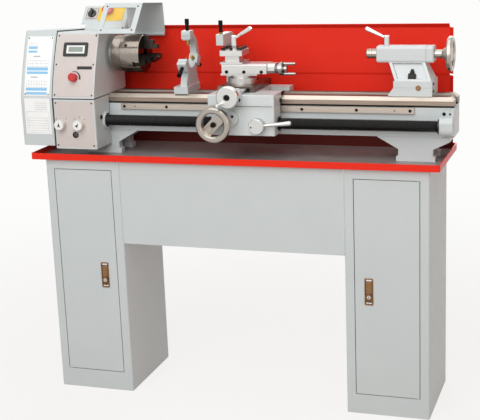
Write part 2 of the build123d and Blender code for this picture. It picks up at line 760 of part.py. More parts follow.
with BuildPart() as bed:
    with BuildSketch(across(HEAD_LEFT_X)):
        with BuildLine():
            Polyline(
                (0, BED_BOTTOM_Z),
                (WEB_HALF, BED_BOTTOM_Z),
                (WEB_HALF, WAY_LOW_Z - WAY_UNDERCUT),
                (WAY_HALF, WAY_LOW_Z),
                (WAY_HALF, BED_TOP_Z - WAY_SLOPE),
                (WAY_FLAT, BED_TOP_Z),
                (0, BED_TOP_Z),
            )
            mirror(about=Plane.YZ)
        make_face()
    extrude(amount=BED_LENGTH)
    chamfer(bed.faces().sort_by(Axis.X)[-1].edges().sort_by(Axis.Z)[-1], length=WAY_END_CHAMFER)
    with BuildSketch(across(HEAD_LEFT_X)):
        with Locations((0, BED_TOP_Z)):
            Rectangle(2 * SLOT_HALF, SLOT_DEPTH, align=(Align.CENTER, Align.MAX))
    extrude(amount=BED_LENGTH, mode=Mode.SUBTRACT)
    extrude(foot_outline(LEFT_FOOT_X, 1), amount=-FOOT_D)
    extrude(foot_outline(RIGHT_FOOT_X, -1), amount=-FOOT_D)
    with BuildSketch(Plane.XY.offset(BED_BOTTOM_Z)):
        with Locations((BED_MID_X, SPINDLE_Y)):
            with GridLocations(BAY_PITCH, 0, RIB_BAYS, 1):
                Rectangle(BAY_PITCH - RIB_T, 2 * (WEB_HALF - WEB_WALL))
    extrude(amount=BED_H - SLOT_DEPTH, mode=Mode.SUBTRACT)
    with BuildSketch(across(HEAD_LEFT_X)):
        with Locations((0, TRAY_FLOOR_Z)):
            Rectangle(FOOT_TUNNEL_D, FOOT_TUNNEL_H, align=(Align.CENTER, Align.MIN))
    extrude(amount=BED_LENGTH, mode=Mode.SUBTRACT)
bed.part.label = "bed"
export_step(bed.part, "parts/bed.step")

RACK_TOP_Z = BED_TOP_Z - RACK_DROP
with BuildPart() as feed_rack:
    with BuildSketch(facing(SPINDLE_Y - WEB_HALF)):
        with Locations((HEAD_LEFT_X + RACK_START, RACK_TOP_Z)):
            Rectangle(RACK_LENGTH, RACK_H, align=(Align.MIN, Align.MAX))
    extrude(amount=RACK_T)
feed_rack.part.label = "feed_rack"
export_step(feed_rack.part, "parts/feed_rack.step")

# Headstock casting, its end cover and the feed gearbox
HEAD_ARC = (
    (-HEAD_FRONT, BED_TOP_Z),
    (HEAD_BULGE_SET - HEAD_FRONT, SPINDLE_Z - HEAD_BULGE_DROP),
    (HEAD_TOP_SET - HEAD_FRONT, HEAD_TOP_Z),
)
HEAD_REAR_TOP_Z = HEAD_TOP_Z - HEAD_REAR_TOP_DROP
HOOD_AXIS = Axis((0, SPINDLE_Y + HOOD_PIVOT_OUT, SPINDLE_Z + HOOD_PIVOT_RISE), (1, 0, 0))
SCREW_AXIS = Axis((0, SCREW_Y, SCREW_Z), (1, 0, 0))
MOTOR_AXIS = Axis((0, MOTOR_Y, MOTOR_Z), (1, 0, 0))


def head_top_z(out):
    """Height of the headstock's sloping top at a distance behind the spindle."""
    run = HEAD_REAR + HEAD_FRONT - HEAD_TOP_SET
    return HEAD_TOP_Z - HEAD_REAR_TOP_DROP * (out + HEAD_FRONT - HEAD_TOP_SET) / run


def front_axis(x, rise):
    """Axis square to the headstock's curved front at x and at a height over the bed, pointing out."""
    centre_y, centre_z = circle_through(*HEAD_ARC)
    reach = sqrt((HEAD_ARC[0][0] - centre_y) ** 2 + (HEAD_ARC[0][1] - centre_z) ** 2)
    level = BED_TOP_Z + rise - centre_z
    depth = sqrt(reach ** 2 - level ** 2)
    return Axis((x, SPINDLE_Y + centre_y - depth, BED_TOP_Z + rise), (0, -depth, level))


def head_outline(x, inset):
    """Closed outline of the headstock on a plane across the bed, taken in by an inset."""
    with BuildSketch(across(x)) as outline:
        with BuildLine():
            ThreePointArc(*HEAD_ARC)
            Polyline(
                HEAD_ARC[2],
                (HEAD_REAR, HEAD_REAR_TOP_Z),
                (HEAD_REAR, HEAD_REAR_TOP_Z - HEAD_REAR_WALL),
                (HEAD_SKIRT_BACK, BED_TOP_Z + HEAD_SKIRT_H),
                (HEAD_SKIRT_BACK, BED_TOP_Z),
                HEAD_ARC[0],
            )
        make_face()
        if inset:
            offset(amount=-inset, kind=Kind.INTERSECTION, mode=Mode.REPLACE)
    return outline.sketch


def cover_outline(x, inset):
    """Outline of the end cover, taken in by an inset."""
    cover_top_z = HEAD_TOP_Z + COVER_TOP_EXTRA
    with BuildSketch(across(x)) as outline:
        with BuildLine():
            ThreePointArc(HEAD_ARC[0], HEAD_ARC[1], (HEAD_ARC[2][0], cover_top_z))
            Polyline(
                (HEAD_ARC[2][0], cover_top_z),
                (COVER_BACK, head_top_z(COVER_BACK) + COVER_TOP_EXTRA),
                (COVER_BACK, BED_TOP_Z - COVER_BOTTOM),
                (-HEAD_FRONT, BED_TOP_Z - COVER_BOTTOM),
                HEAD_ARC[0],
            )
        make_face()
        if inset:
            offset(amount=-inset, kind=Kind.INTERSECTION, mode=Mode.REPLACE)
    return outline.sketch


SPEED_AXIS = front_axis(HEAD_LEFT_X + SPEED_KNOB_AT, SPEED_KNOB_RISE)
HOOD_BOSS_X = HEAD_RIGHT_X - HEAD_WALL
bearing_bore = rod(SPINDLE_AXIS, HEAD_LEFT_X, HEAD_RIGHT_X, BEARING_R + SEAT_FIT)
hood_bore = rod(HOOD_AXIS, HEAD_RIGHT_X - HOOD_PIVOT_IN, HEAD_RIGHT_X, HOOD_PIVOT_R + RUN_FIT)
hood_boss = rod(HOOD_AXIS, HEAD_RIGHT_X - HOOD_PIVOT_IN - HEAD_WALL, HOOD_BOSS_X, HOOD_BOSS_R)
speed_bore = rod(SPEED_AXIS, -2 * HEAD_WALL, HEAD_WALL, SPEED_SHAFT_R + RUN_FIT)
nose_recess = rod(SPINDLE_AXIS, HEAD_RIGHT_X - NOSE_RECESS, HEAD_RIGHT_X, NOSE_RECESS_R)
with BuildPart() as headstock:
    extrude(head_outline(HEAD_LEFT_X, 0), amount=HEAD_W)
    head_hollow = head_outline(HEAD_LEFT_X + HEAD_WALL, HEAD_WALL)
    extrude(head_hollow, amount=HEAD_W - 2 * HEAD_WALL, mode=Mode.SUBTRACT)
    with BuildSketch(across(HEAD_LEFT_X + HEAD_WALL)):
        with Locations((0, BED_TOP_Z)):
            Rectangle(2 * HEAD_SLOT_HALF, 2 * HEAD_WALL, align=(Align.CENTER, Align.MIN))
    extrude(amount=HEAD_W - 2 * HEAD_WALL, mode=Mode.SUBTRACT)
    add(hood_boss)
    for bore in (bearing_bore, hood_bore, speed_bore, nose_recess):
        add(bore, mode=Mode.SUBTRACT)
headstock.part.label = "headstock"
export_step(headstock.part, "parts/headstock.step")

SELECTOR_X = [HEAD_LEFT_X + at for at in SELECTOR_AT]
SELECTOR_AXES = [Axis((x, FRONT_Y, GEARBOX_BOTTOM_Z + SELECTOR_Z), (0, -1, 0)) for x in SELECTOR_X]
GEARBOX_D = GEARBOX_BACK_Y - FRONT_Y
selector_bores = [rod(axis, -GEARBOX_WALL, 0, SELECTOR_SHAFT_R + RUN_FIT) for axis in SELECTOR_AXES]
screw_bore = rod(SCREW_AXIS, HEAD_LEFT_X, HEAD_RIGHT_X, SCREW_R + RUN_FIT)
with BuildPart() as feed_gearbox:
    with BuildSketch(Plane.XY.offset(GEARBOX_BOTTOM_Z)) as gearbox_plan:
        with Locations((HEAD_MID_X, FRONT_Y)):
            Rectangle(HEAD_W, GEARBOX_D, align=(Align.CENTER, Align.MIN))
        fillet(gearbox_plan.vertices().group_by(Axis.Y)[0], radius=GEARBOX_R)
    extrude(amount=GEARBOX_H)
    with BuildSketch(Plane.XY.offset(GEARBOX_BOTTOM_Z + GEARBOX_WALL)):
        with Locations((HEAD_MID_X, FRONT_Y + GEARBOX_WALL)):
            Rectangle(HEAD_W - 2 * GEARBOX_WALL, GEARBOX_D, align=(Align.CENTER, Align.MIN))
    extrude(amount=GEARBOX_H - 2 * GEARBOX_WALL, mode=Mode.SUBTRACT)
    for bore in [screw_bore] + selector_bores:
        add(bore, mode=Mode.SUBTRACT)
feed_gearbox.part.label = "feed_gearbox"
export_step(feed_gearbox.part, "parts/feed_gearbox.step")

plate_spindle_hole = rod(SPINDLE_AXIS, PLATE_X, HEAD_LEFT_X, SPINDLE_R + SHAFT_CLEAR)
plate_motor_hole = rod(MOTOR_AXIS, PLATE_X, HEAD_LEFT_X, MOTOR_SHAFT_R + SHAFT_CLEAR)
with BuildPart() as end_plate:
    extrude(cover_outline(PLATE_X, COVER_LIP), amount=SEAM)
    add(plate_spindle_hole, mode=Mode.SUBTRACT)
    add(plate_motor_hole, mode=Mode.SUBTRACT)
end_plate.part.label = "end_plate"
export_step(end_plate.part, "parts/end_plate.step")

cover_hole = rod(SPINDLE_AXIS, COVER_LEFT_X, COVER_LEFT_X + COVER_WALL, COVER_HOLE_R)
with BuildPart() as end_cover:
    extrude(cover_outline(COVER_LEFT_X, 0), amount=COVER_W)
    fillet(end_cover.faces().sort_by(Axis.X)[0].edges(), radius=COVER_EDGE_R)
    extrude(cover_outline(COVER_LEFT_X + COVER_WALL, COVER_WALL), amount=COVER_W, mode=Mode.SUBTRACT)
    add(cover_hole, mode=Mode.SUBTRACT)
end_cover.part.label = "end_cover"
export_step(end_cover.part, "parts/end_cover.step")

# Electrical box on the headstock's rear top, with its switch and stop button
BOX_TOP_Z = SPINDLE_Z + BOX_TOP
BOX_LIP_Z = SPINDLE_Z + BOX_LIP
BOX_SLANT_FOOT = (BOX_FRONT, head_top_z(BOX_FRONT))
BOX_SLANT_TOP = (BOX_SLANT_BACK, BOX_TOP_Z)
BOX_SLANT = (BOX_SLANT_TOP[0] - BOX_SLANT_FOOT[0], BOX_SLANT_TOP[1] - BOX_SLANT_FOOT[1])
BOX_SLANT_L = sqrt(BOX_SLANT[0] ** 2 + BOX_SLANT[1] ** 2)
BOX_FACE = ((BOX_SLANT_FOOT[0] + BOX_SLANT_TOP[0]) / 2, (BOX_SLANT_FOOT[1] + BOX_SLANT_TOP[1]) / 2)


def box_axis(at, up):
    """Axis square to the slanted panel of the electrical box, at a distance from its left end."""
    share = up / BOX_SLANT_L
    spot_y = SPINDLE_Y + BOX_FACE[0] + share * BOX_SLANT[0]
    spot_z = BOX_FACE[1] + share * BOX_SLANT[1]
    return Axis((HEAD_LEFT_X + at, spot_y, spot_z), (0, -BOX_SLANT[1], BOX_SLANT[0]))


def box_outline(x, inset):
    """Outline of the electrical box on a plane across the bed, taken in by an inset."""
    with BuildSketch(across(x)) as outline:
        with BuildLine():
            Polyline(
                BOX_SLANT_FOOT,
                BOX_SLANT_TOP,
                (BOX_BACK, BOX_TOP_Z),
                (BOX_BACK, BOX_LIP_Z),
                (BOX_STEP, BOX_LIP_Z),
                (BOX_SEAT_BACK, head_top_z(BOX_SEAT_BACK)),
                close=True,
            )
        make_face()
        if inset:
            offset(amount=-inset, kind=Kind.INTERSECTION, mode=Mode.REPLACE)
    return outline.sketch


ESTOP_AXIS = box_axis(ESTOP_AT, ESTOP_UP)
SWITCH_AXIS = box_axis(SWITCH_AT, SWITCH_UP)
BUTTON_AXES = (ESTOP_AXIS, SWITCH_AXIS)
button_bores = [rod(axis, -2 * BOX_WALL, BOX_WALL, BUTTON_SHAFT_R + RUN_FIT) for axis in BUTTON_AXES]
BOX_LEFT_X = HEAD_LEFT_X - BOX_OVERHANG
BOX_W = HEAD_W + BOX_OVERHANG
BOX_LIP_SLANT = BOX_FRONT + BOX_WALL + (BOX_LIP_Z - BOX_SLANT_FOOT[1]) * BOX_SLANT[0] / BOX_SLANT[1]
with BuildPart() as electrical_box:
    extrude(box_outline(BOX_LEFT_X, 0), amount=BOX_W)
    extrude(box_outline(BOX_LEFT_X + BOX_WALL, BOX_WALL), amount=BOX_W - 2 * BOX_WALL, mode=Mode.SUBTRACT)
    with BuildSketch(across(BOX_LEFT_X)):
        with Locations((0, BOX_LIP_Z)):
            Rectangle(2 * BOX_BACK, BOX_LIP, align=(Align.CENTER, Align.MAX))
    extrude(amount=BOX_OVERHANG, mode=Mode.SUBTRACT)
    extrude(box_outline(HEAD_LEFT_X, 0), amount=BOX_WALL)
    with BuildSketch(across(BOX_LEFT_X)):
        with Locations((BOX_LIP_SLANT, BOX_LIP_Z)):
            Rectangle(BOX_STEP + BOX_WALL - BOX_LIP_SLANT, BOX_WALL, align=(Align.MIN, Align.MIN))
    extrude(amount=BOX_OVERHANG)
    for bore in button_bores:
        add(bore, mode=Mode.SUBTRACT)
electrical_box.part.label = "electrical_box"
export_step(electrical_box.part, "parts/electrical_box.step")

ESTOP_DOME = ESTOP_HEAD_T / 2
ESTOP_APEX = ESTOP_COLLAR + ESTOP_HEAD_T
ESTOP_DOME_R = (ESTOP_HEAD_R ** 2 + ESTOP_DOME ** 2) / (2 * ESTOP_DOME)
ESTOP_HALF_ANGLE = atan2(ESTOP_HEAD_R, ESTOP_DOME_R - ESTOP_DOME) / 2
with BuildPart() as estop_button:
    with BuildSketch(turning_plane(ESTOP_AXIS)):
        with BuildLine():
            Polyline(
                (ESTOP_APEX, 0),
                (-BUTTON_SHAFT_IN, 0),
                (-BUTTON_SHAFT_IN, BUTTON_SHAFT_R),
                (ESTOP_COLLAR, BUTTON_SHAFT_R),
                (ESTOP_COLLAR, ESTOP_HEAD_R),
                (ESTOP_APEX - ESTOP_DOME, ESTOP_HEAD_R),
            )
            ThreePointArc(
                (ESTOP_APEX - ESTOP_DOME, ESTOP_HEAD_R),
                (
                    ESTOP_APEX - ESTOP_DOME_R * (1 - cos(ESTOP_HALF_ANGLE)),
                    ESTOP_DOME_R * sin(ESTOP_HALF_ANGLE),
                ),
                (ESTOP_APEX, 0),
            )
        make_face()
    revolve(axis=ESTOP_AXIS)
estop_button.part.label = "estop_button"
export_step(estop_button.part, "parts/estop_button.step")


def make_knob(axis, radius, height, shaft_r, shaft_in, grip_w):
    """Round knob with a raised grip bar and a shaft into its panel."""
    base_t = height * KNOB_BASE
    stem = turned(
        axis,
        (-shaft_in, 0),
        (height / 2, 0),
        (height / 2, radius * KNOB_CONE),
        (base_t, radius),
        (KNOB_GAP, radius),
        (KNOB_GAP, shaft_r),
        (-shaft_in, shaft_r),
    )
    panel = Plane(origin=axis.position, x_dir=(1, 0, 0), z_dir=axis.direction)
    with BuildPart() as body:
        add(stem)
        with BuildSketch(panel.offset(base_t)):
            SlotOverall(2 * radius, grip_w, rotation=90)
        extrude(amount=height - base_t)
    return body.part


def make_fluted_knob(axis, radius, height, shaft_r, shaft_in):
    """Round knob with flutes round its rim and a shaft into its panel."""
    stem = turned(
        axis,
        (-shaft_in, 0),
        (height, 0),
        (height, radius * KNOB_FACE),
        (height * KNOB_SHOULDER, radius * KNOB_SHOULDER),
        (KNOB_GAP, radius),
        (KNOB_GAP, shaft_r),
        (-shaft_in, shaft_r),
    )
    panel = Plane(origin=axis.position, x_dir=(1, 0, 0), z_dir=axis.direction)
    with BuildPart() as body:
        add(stem)
        with BuildSketch(panel.offset(KNOB_GAP)):
            with PolarLocations(radius, KNOB_FLUTES):
                Circle(KNOB_FLUTE_R)
        extrude(amount=height, mode=Mode.SUBTRACT)
    return body.part


knobs = {
    "power_switch": make_knob(
        SWITCH_AXIS, SWITCH_R, SWITCH_H, BUTTON_SHAFT_R, BUTTON_SHAFT_IN, SWITCH_GRIP_W
    ),
    "speed_knob": make_fluted_knob(SPEED_AXIS, SPEED_KNOB_R, SPEED_KNOB_H, SPEED_SHAFT_R, HEAD_WALL),
}
for side_name, axis in zip(("left", "right"), SELECTOR_AXES):
    knobs[f"selector_{side_name}"] = turned(
        axis,
        (-SELECTOR_H, 0),
        (SELECTOR_H, 0),
        (SELECTOR_H, SELECTOR_R - SELECTOR_EDGE),
        (SELECTOR_H - SELECTOR_EDGE, SELECTOR_R),
        (KNOB_GAP, SELECTOR_R),
        (KNOB_GAP, SELECTOR_SHAFT_R),
        (-SELECTOR_H, SELECTOR_SHAFT_R),
    )
for knob_name, knob in knobs.items():
    knob.label = knob_name
    export_step(knob, f"parts/{knob_name}.step")

# Drive: motor on the end plate, two pulleys and the belt, spindle and its bearings
motor_bore = rod(MOTOR_AXIS, HEAD_LEFT_X, HEAD_LEFT_X + MOTOR_SHAFT_IN, MOTOR_SHAFT_R + RUN_FIT)
with BuildPart() as drive_motor:
    with BuildSketch(across(HEAD_LEFT_X)):
        with Locations((MOTOR_OUT, MOTOR_Z)):
            Circle(MOTOR_R)
    extrude(amount=HEAD_W)
    with BuildSketch(across(HEAD_LEFT_X + MOTOR_BELL)):
        with Locations((MOTOR_OUT, MOTOR_Z)):
            with PolarLocations(MOTOR_R, MOTOR_FINS):
                Rectangle(2 * MOTOR_FIN_DEPTH, MOTOR_FIN_GAP)
    extrude(amount=HEAD_W - 2 * MOTOR_BELL, mode=Mode.SUBTRACT)
    add(motor_bore, mode=Mode.SUBTRACT)
drive_motor.part.label = "drive_motor"
export_step(drive_motor.part, "parts/drive_motor.step")

PULLEY_RIGHT_X = PLATE_X - PULLEY_SET
PULLEY_LEFT_X = PULLEY_RIGHT_X - PULLEY_W


def make_pulley(axis, radius, bore_r):
    """Flanged belt pulley turned about an axis."""
    return turned(
        axis,
        (PULLEY_LEFT_X, bore_r),
        (PULLEY_RIGHT_X, bore_r),
        (PULLEY_RIGHT_X, radius + PULLEY_RIM),
        (PULLEY_RIGHT_X - PULLEY_FLANGE, radius + PULLEY_RIM),
        (PULLEY_RIGHT_X - PULLEY_FLANGE, radius),
        (PULLEY_LEFT_X + PULLEY_FLANGE, radius),
        (PULLEY_LEFT_X + PULLEY_FLANGE, radius + PULLEY_RIM),
        (PULLEY_LEFT_X, radius + PULLEY_RIM),
    )


spindle_wheel = make_pulley(SPINDLE_AXIS, SPINDLE_PULLEY_R, SPINDLE_R + SEAT_FIT)
with BuildPart() as spindle_pulley:
    add(spindle_wheel)
spindle_pulley.part.label = "spindle_pulley"
export_step(spindle_pulley.part, "parts/spindle_pulley.step")

motor_wheel = make_pulley(MOTOR_AXIS, MOTOR_PULLEY_R, 0)
motor_shaft = rod(MOTOR_AXIS, PULLEY_LEFT_X, HEAD_LEFT_X + MOTOR_SHAFT_IN - SCREW_END_GAP, MOTOR_SHAFT_R)
with BuildPart() as motor_pulley:
    add(motor_wheel)
    add(motor_shaft)
motor_pulley.part.label = "motor_pulley"
export_step(motor_pulley.part, "parts/motor_pulley.step")


def belt_loop(thickness):
    """Hull round both pulleys at a thickness over their running faces."""
    with BuildSketch(across(PULLEY_LEFT_X + PULLEY_FLANGE + BELT_SIDE)) as loop:
        with Locations((0, SPINDLE_Z)):
            Circle(SPINDLE_PULLEY_R + thickness)
        with Locations((MOTOR_OUT, MOTOR_Z)):
            Circle(MOTOR_PULLEY_R + thickness)
        make_hull()
    return loop.sketch


BELT_W = PULLEY_W - 2 * (PULLEY_FLANGE + BELT_SIDE)
with BuildPart() as drive_belt:
    extrude(belt_loop(BELT_GAP + BELT_T), amount=BELT_W)
    extrude(belt_loop(BELT_GAP), amount=BELT_W, mode=Mode.SUBTRACT)
drive_belt.part.label = "drive_belt"
export_step(drive_belt.part, "parts/drive_belt.step")

with BuildPart() as spindle_bearings:
    for wall_x in (HEAD_LEFT_X, HEAD_RIGHT_X - HEAD_WALL):
        with BuildSketch(turning_plane(SPINDLE_AXIS)):
            with Locations((wall_x, SPINDLE_R + RUN_FIT)):
                Rectangle(HEAD_WALL, BEARING_R - SPINDLE_R - RUN_FIT, align=(Align.MIN, Align.MIN))
            with Locations((wall_x + HEAD_WALL, (SPINDLE_R + BEARING_R) / 2)):
                Rectangle(BEARING_GROOVE, BEARING_RACE, align=(Align.MAX, Align.CENTER), mode=Mode.SUBTRACT)
        revolve(axis=SPINDLE_AXIS)
spindle_bearings.part.label = "spindle_bearings"
export_step(spindle_bearings.part, "parts/spindle_bearings.step")

SPINDLE_LEFT_X = PLATE_X - SPINDLE_TAIL
FLANGE_X = HEAD_RIGHT_X + SPINDLE_FLANGE_GAP
NOSE_X = FLANGE_X + SPINDLE_FLANGE_T
spindle_turning = turned(
    SPINDLE_AXIS,
    (SPINDLE_LEFT_X, SPINDLE_BORE_R),
    (NOSE_X, SPINDLE_BORE_R),
    (NOSE_X, SPINDLE_FLANGE_R),
    (FLANGE_X, SPINDLE_FLANGE_R),
    (FLANGE_X, SPINDLE_R),
    (SPINDLE_LEFT_X, SPINDLE_R),
)
with BuildPart() as spindle:
    add(spindle_turning)
spindle.part.label = "spindle"
export_step(spindle.part, "parts/spindle.step")

# Three-jaw chuck: T-slotted body and stepped jaws that slide in its slots
CHUCK_BACK_X = NOSE_X + BACKPLATE_T
CHUCK_FACE_X = CHUCK_BACK_X + CHUCK_T
JAW_ROOT_X = CHUCK_FACE_X - JAW_ROOT
JAW_ANGLES = [90 + 360 / JAWS * index for index in range(JAWS)]
chuck_turning = turned(
    SPINDLE_AXIS,
    (NOSE_X, CHUCK_BORE_R),
    (CHUCK_FACE_X, CHUCK_BORE_R),
    (CHUCK_FACE_X, CHUCK_R - CHUCK_CHAMFER),
    (CHUCK_FACE_X - CHUCK_CHAMFER, CHUCK_R),
    (CHUCK_BACK_X + CHUCK_GROOVE, CHUCK_R),
    (CHUCK_BACK_X + CHUCK_GROOVE, BACKPLATE_R - CHUCK_GROOVE_D),
    (CHUCK_BACK_X, BACKPLATE_R - CHUCK_GROOVE_D),
    (CHUCK_BACK_X, BACKPLATE_R),
    (NOSE_X + CHUCK_CHAMFER, BACKPLATE_R),
    (NOSE_X, BACKPLATE_R - CHUCK_CHAMFER),
)


def jaw_plane(angle, radius):
    """Plane square to a jaw's travel, at a radius: sketched as machine X and the jaw's width."""
    outward = Vector(0, cos(radians(angle)), sin(radians(angle)))
    origin = Vector(0, SPINDLE_Y, SPINDLE_Z) + outward * radius
    return Plane(origin=origin, x_dir=(1, 0, 0), z_dir=outward)


def jaw_section(plane, play):
    """T-shaped section of a jaw below the chuck's face, grown by a clearance."""
    with BuildSketch(plane) as section:
        with Locations((JAW_ROOT_X - play, 0)):
            Rectangle(JAW_ROOT + 2 * play, JAW_W + 2 * play, align=(Align.MIN, Align.CENTER))
            Rectangle(JAW_TONGUE_T + 2 * play, JAW_TONGUE_W + 2 * play, align=(Align.MIN, Align.CENTER))
    return section.sketch


with BuildPart() as chuck_body:
    add(chuck_turning)
    for angle in JAW_ANGLES:
        extrude(jaw_section(jaw_plane(angle, 0), JAW_FIT), amount=2 * CHUCK_R, mode=Mode.SUBTRACT)
        with BuildSketch(jaw_plane(angle + 180, CHUCK_R - KEY_DEPTH)):
            with Locations((CHUCK_FACE_X - KEY_BACK, 0)):
                Circle(KEY_R)
        extrude(amount=2 * KEY_DEPTH, mode=Mode.SUBTRACT)
chuck_body.part.label = "chuck_body"
export_step(chuck_body.part, "parts/chuck_body.step")

JAW_LENGTH = JAWS * JAW_STEP
for jaw_number, angle in enumerate(JAW_ANGLES, start=1):
    with BuildPart() as jaw:
        extrude(jaw_section(jaw_plane(angle, JAW_IN_R), 0), amount=JAW_LENGTH)
        for step in range(JAWS):
            with BuildSketch(jaw_plane(angle, JAW_IN_R)):
                with Locations((CHUCK_FACE_X, 0)):
                    Rectangle(JAW_LAND + step * JAW_STEP_RISE, JAW_W, align=(Align.MIN, Align.CENTER))
            extrude(amount=JAW_LENGTH - step * JAW_STEP)
    jaw.part.label = f"jaw_{jaw_number}"
    export_step(jaw.part, f"parts/jaw_{jaw_number}.step")

# Guard hood over the chuck: a bent sheet on its own pivot shaft, with a clear window
HOOD_LEFT_X = HEAD_RIGHT_X + HOOD_GAP
HOOD_FRONT_RUN = (HOOD_FRONT_TOP[0] - HOOD_FRONT_FOOT[0], HOOD_FRONT_TOP[1] - HOOD_FRONT_FOOT[1])
HOOD_WINDOW_PLANE = Plane(
    origin=(
        HOOD_LEFT_X + HOOD_W / 2,
        SPINDLE_Y + (HOOD_FRONT_FOOT[0] + HOOD_FRONT_TOP[0]) / 2,
        SPINDLE_Z + (HOOD_FRONT_FOOT[1] + HOOD_FRONT_TOP[1]) / 2,
    ),
    x_dir=(1, 0, 0),
    z_dir=(0, -HOOD_FRONT_RUN[1], HOOD_FRONT_RUN[0]),
)
hood_shaft = rod(HOOD_AXIS, HEAD_RIGHT_X - HOOD_PIVOT_IN, HOOD_LEFT_X + HOOD_W, HOOD_PIVOT_R)
with BuildPart() as chuck_guard:
    with BuildSketch(across(HOOD_LEFT_X)):
        with BuildLine():
            FilletPolyline(
                (HOOD_FRONT_FOOT[0], SPINDLE_Z + HOOD_FRONT_FOOT[1]),
                (HOOD_FRONT_TOP[0], SPINDLE_Z + HOOD_FRONT_TOP[1]),
                (HOOD_REAR_TOP[0], SPINDLE_Z + HOOD_REAR_TOP[1]),
                (HOOD_PIVOT_OUT + HOOD_PIVOT_R, SPINDLE_Z + HOOD_PIVOT_RISE),
                radius=HOOD_BEND_R,
            )
        trace(line_width=SHEET)
    extrude(amount=HOOD_W)
    with BuildSketch(HOOD_WINDOW_PLANE.offset(-SHEET)):
        RectangleRounded(HOOD_WINDOW_W, HOOD_WINDOW_H, HOOD_WINDOW_R)
    extrude(amount=2 * SHEET, mode=Mode.SUBTRACT)
    add(hood_shaft)
chuck_guard.part.label = "chuck_guard"
export_step(chuck_guard.part, "parts/chuck_guard.step")

with BuildPart() as guard_window:
    with BuildSketch(HOOD_WINDOW_PLANE.offset(-SHEET / 2)):
        RectangleRounded(HOOD_WINDOW_W + 2 * PANE_LAP, HOOD_WINDOW_H + 2 * PANE_LAP, HOOD_WINDOW_R)
    extrude(amount=-PANE_T)
guard_window.part.label = "guard_window"
export_step(guard_window.part, "parts/guard_window.step")

# Leadscrew, its end bracket and the bellows that cover it on both sides of the apron
CARRIAGE_X = HEAD_RIGHT_X + CARRIAGE_AT
APRON_RIGHT_X = CARRIAGE_X + SADDLE_W
APRON_LEFT_X = APRON_RIGHT_X - APRON_W
BRACKET_RIGHT_X = BED_RIGHT_X + BRACKET_PROUD
BRACKET_LEFT_X = BRACKET_RIGHT_X - BRACKET_W
BRACKET_BOTTOM_Z = SCREW_Z - BRACKET_R - (BRACKET_H - 2 * BRACKET_R) / 2
bracket_bore = rod(SCREW_AXIS, BRACKET_LEFT_X, BRACKET_RIGHT_X, SCREW_R + RUN_FIT)
with BuildPart() as leadscrew_bracket:
    with BuildSketch(across(BRACKET_LEFT_X)) as bracket_face:
        with Locations((-BRACKET_OUT, BRACKET_BOTTOM_Z)):
            Rectangle(BRACKET_OUT - WEB_HALF, BRACKET_H, align=(Align.MIN, Align.MIN))
        fillet(bracket_face.vertices().sort_by(Axis.X)[:2], radius=BRACKET_R)
        with Locations((-WEB_HALF, BRACKET_BOTTOM_Z)):
            Rectangle(BRACKET_R, BRACKET_H + BRACKET_TAB, align=(Align.MAX, Align.MIN))
    extrude(amount=BRACKET_W)
    add(bracket_bore, mode=Mode.SUBTRACT)
leadscrew_bracket.part.label = "leadscrew_bracket"
export_step(leadscrew_bracket.part, "parts/leadscrew_bracket.step")

screw_rod = rod(SCREW_AXIS, HEAD_LEFT_X + SCREW_END_GAP, BRACKET_RIGHT_X - SCREW_END_GAP, SCREW_R)
with BuildPart() as leadscrew:
    add(screw_rod)
leadscrew.part.label = "leadscrew"
export_step(leadscrew.part, "parts/leadscrew.step")

for side_name, start_x, end_x in (
    ("left", HEAD_RIGHT_X, APRON_LEFT_X - SLIDE_GAP),
    ("right", APRON_RIGHT_X + SLIDE_GAP, BRACKET_LEFT_X),
):
    sleeve = turned(
        SCREW_AXIS,
        (start_x, BELLOWS_BORE_R),
        (end_x, BELLOWS_BORE_R),
        (end_x, BELLOWS_FLANGE_R),
        (end_x - BELLOWS_FLANGE_T, BELLOWS_FLANGE_R),
        (end_x - BELLOWS_FLANGE_T, BELLOWS_R),
        (start_x + BELLOWS_FLANGE_T, BELLOWS_R),
        (start_x + BELLOWS_FLANGE_T, BELLOWS_FLANGE_R),
        (start_x, BELLOWS_FLANGE_R),
    )
    sleeve.label = f"bellows_{side_name}"
    export_step(sleeve, f"parts/bellows_{side_name}.step")

# Carriage: saddle on the ways, apron below it, cross slide on its dovetail
SADDLE_TOP_Z = BED_TOP_Z + SADDLE_TOP
SADDLE_FRONT_Y = SPINDLE_Y - SADDLE_FRONT
APRON_TOP_Z = BED_TOP_Z - SADDLE_SKIRT
CROSS_X = CARRIAGE_X + CROSS_AT
SCREW_PLATE_Y = SADDLE_FRONT_Y - SCREW_PLATE_T / 2
CROSS_SHAFT_Z = BED_TOP_Z + CROSS_SHAFT_RISE
CROSS_SHAFT_AXIS = Axis((CARRIAGE_X + CROSS_SHAFT_AT, SCREW_PLATE_Y, CROSS_SHAFT_Z), (0, -1, 0))
APRON_WHEEL_X = APRON_LEFT_X + APRON_WHEEL_AT
APRON_WHEEL_AXIS = Axis((APRON_WHEEL_X, SADDLE_FRONT_Y, BED_TOP_Z - APRON_WHEEL_DROP), (0, -1, 0))
LEVER_AXIS = Axis((APRON_LEFT_X + LEVER_AT, SADDLE_FRONT_Y, BED_TOP_Z - LEVER_DROP), (0, -1, 0))


def dovetail(plane, mid, base, top_width, height, play):
    """Dovetail section standing on a plane's second direction at base, grown by a clearance."""
    half_top = top_width / 2 + play
    half_foot = top_width / 2 - DOVETAIL_TAPER + play
    with BuildSketch(plane) as section:
        with BuildLine():
            Polyline(
                (mid - half_foot, base),
                (mid - half_top, base + height),
                (mid + half_top, base + height),
                (mid + half_foot, base),
                close=True,
            )
        make_face()
    return section.sketch


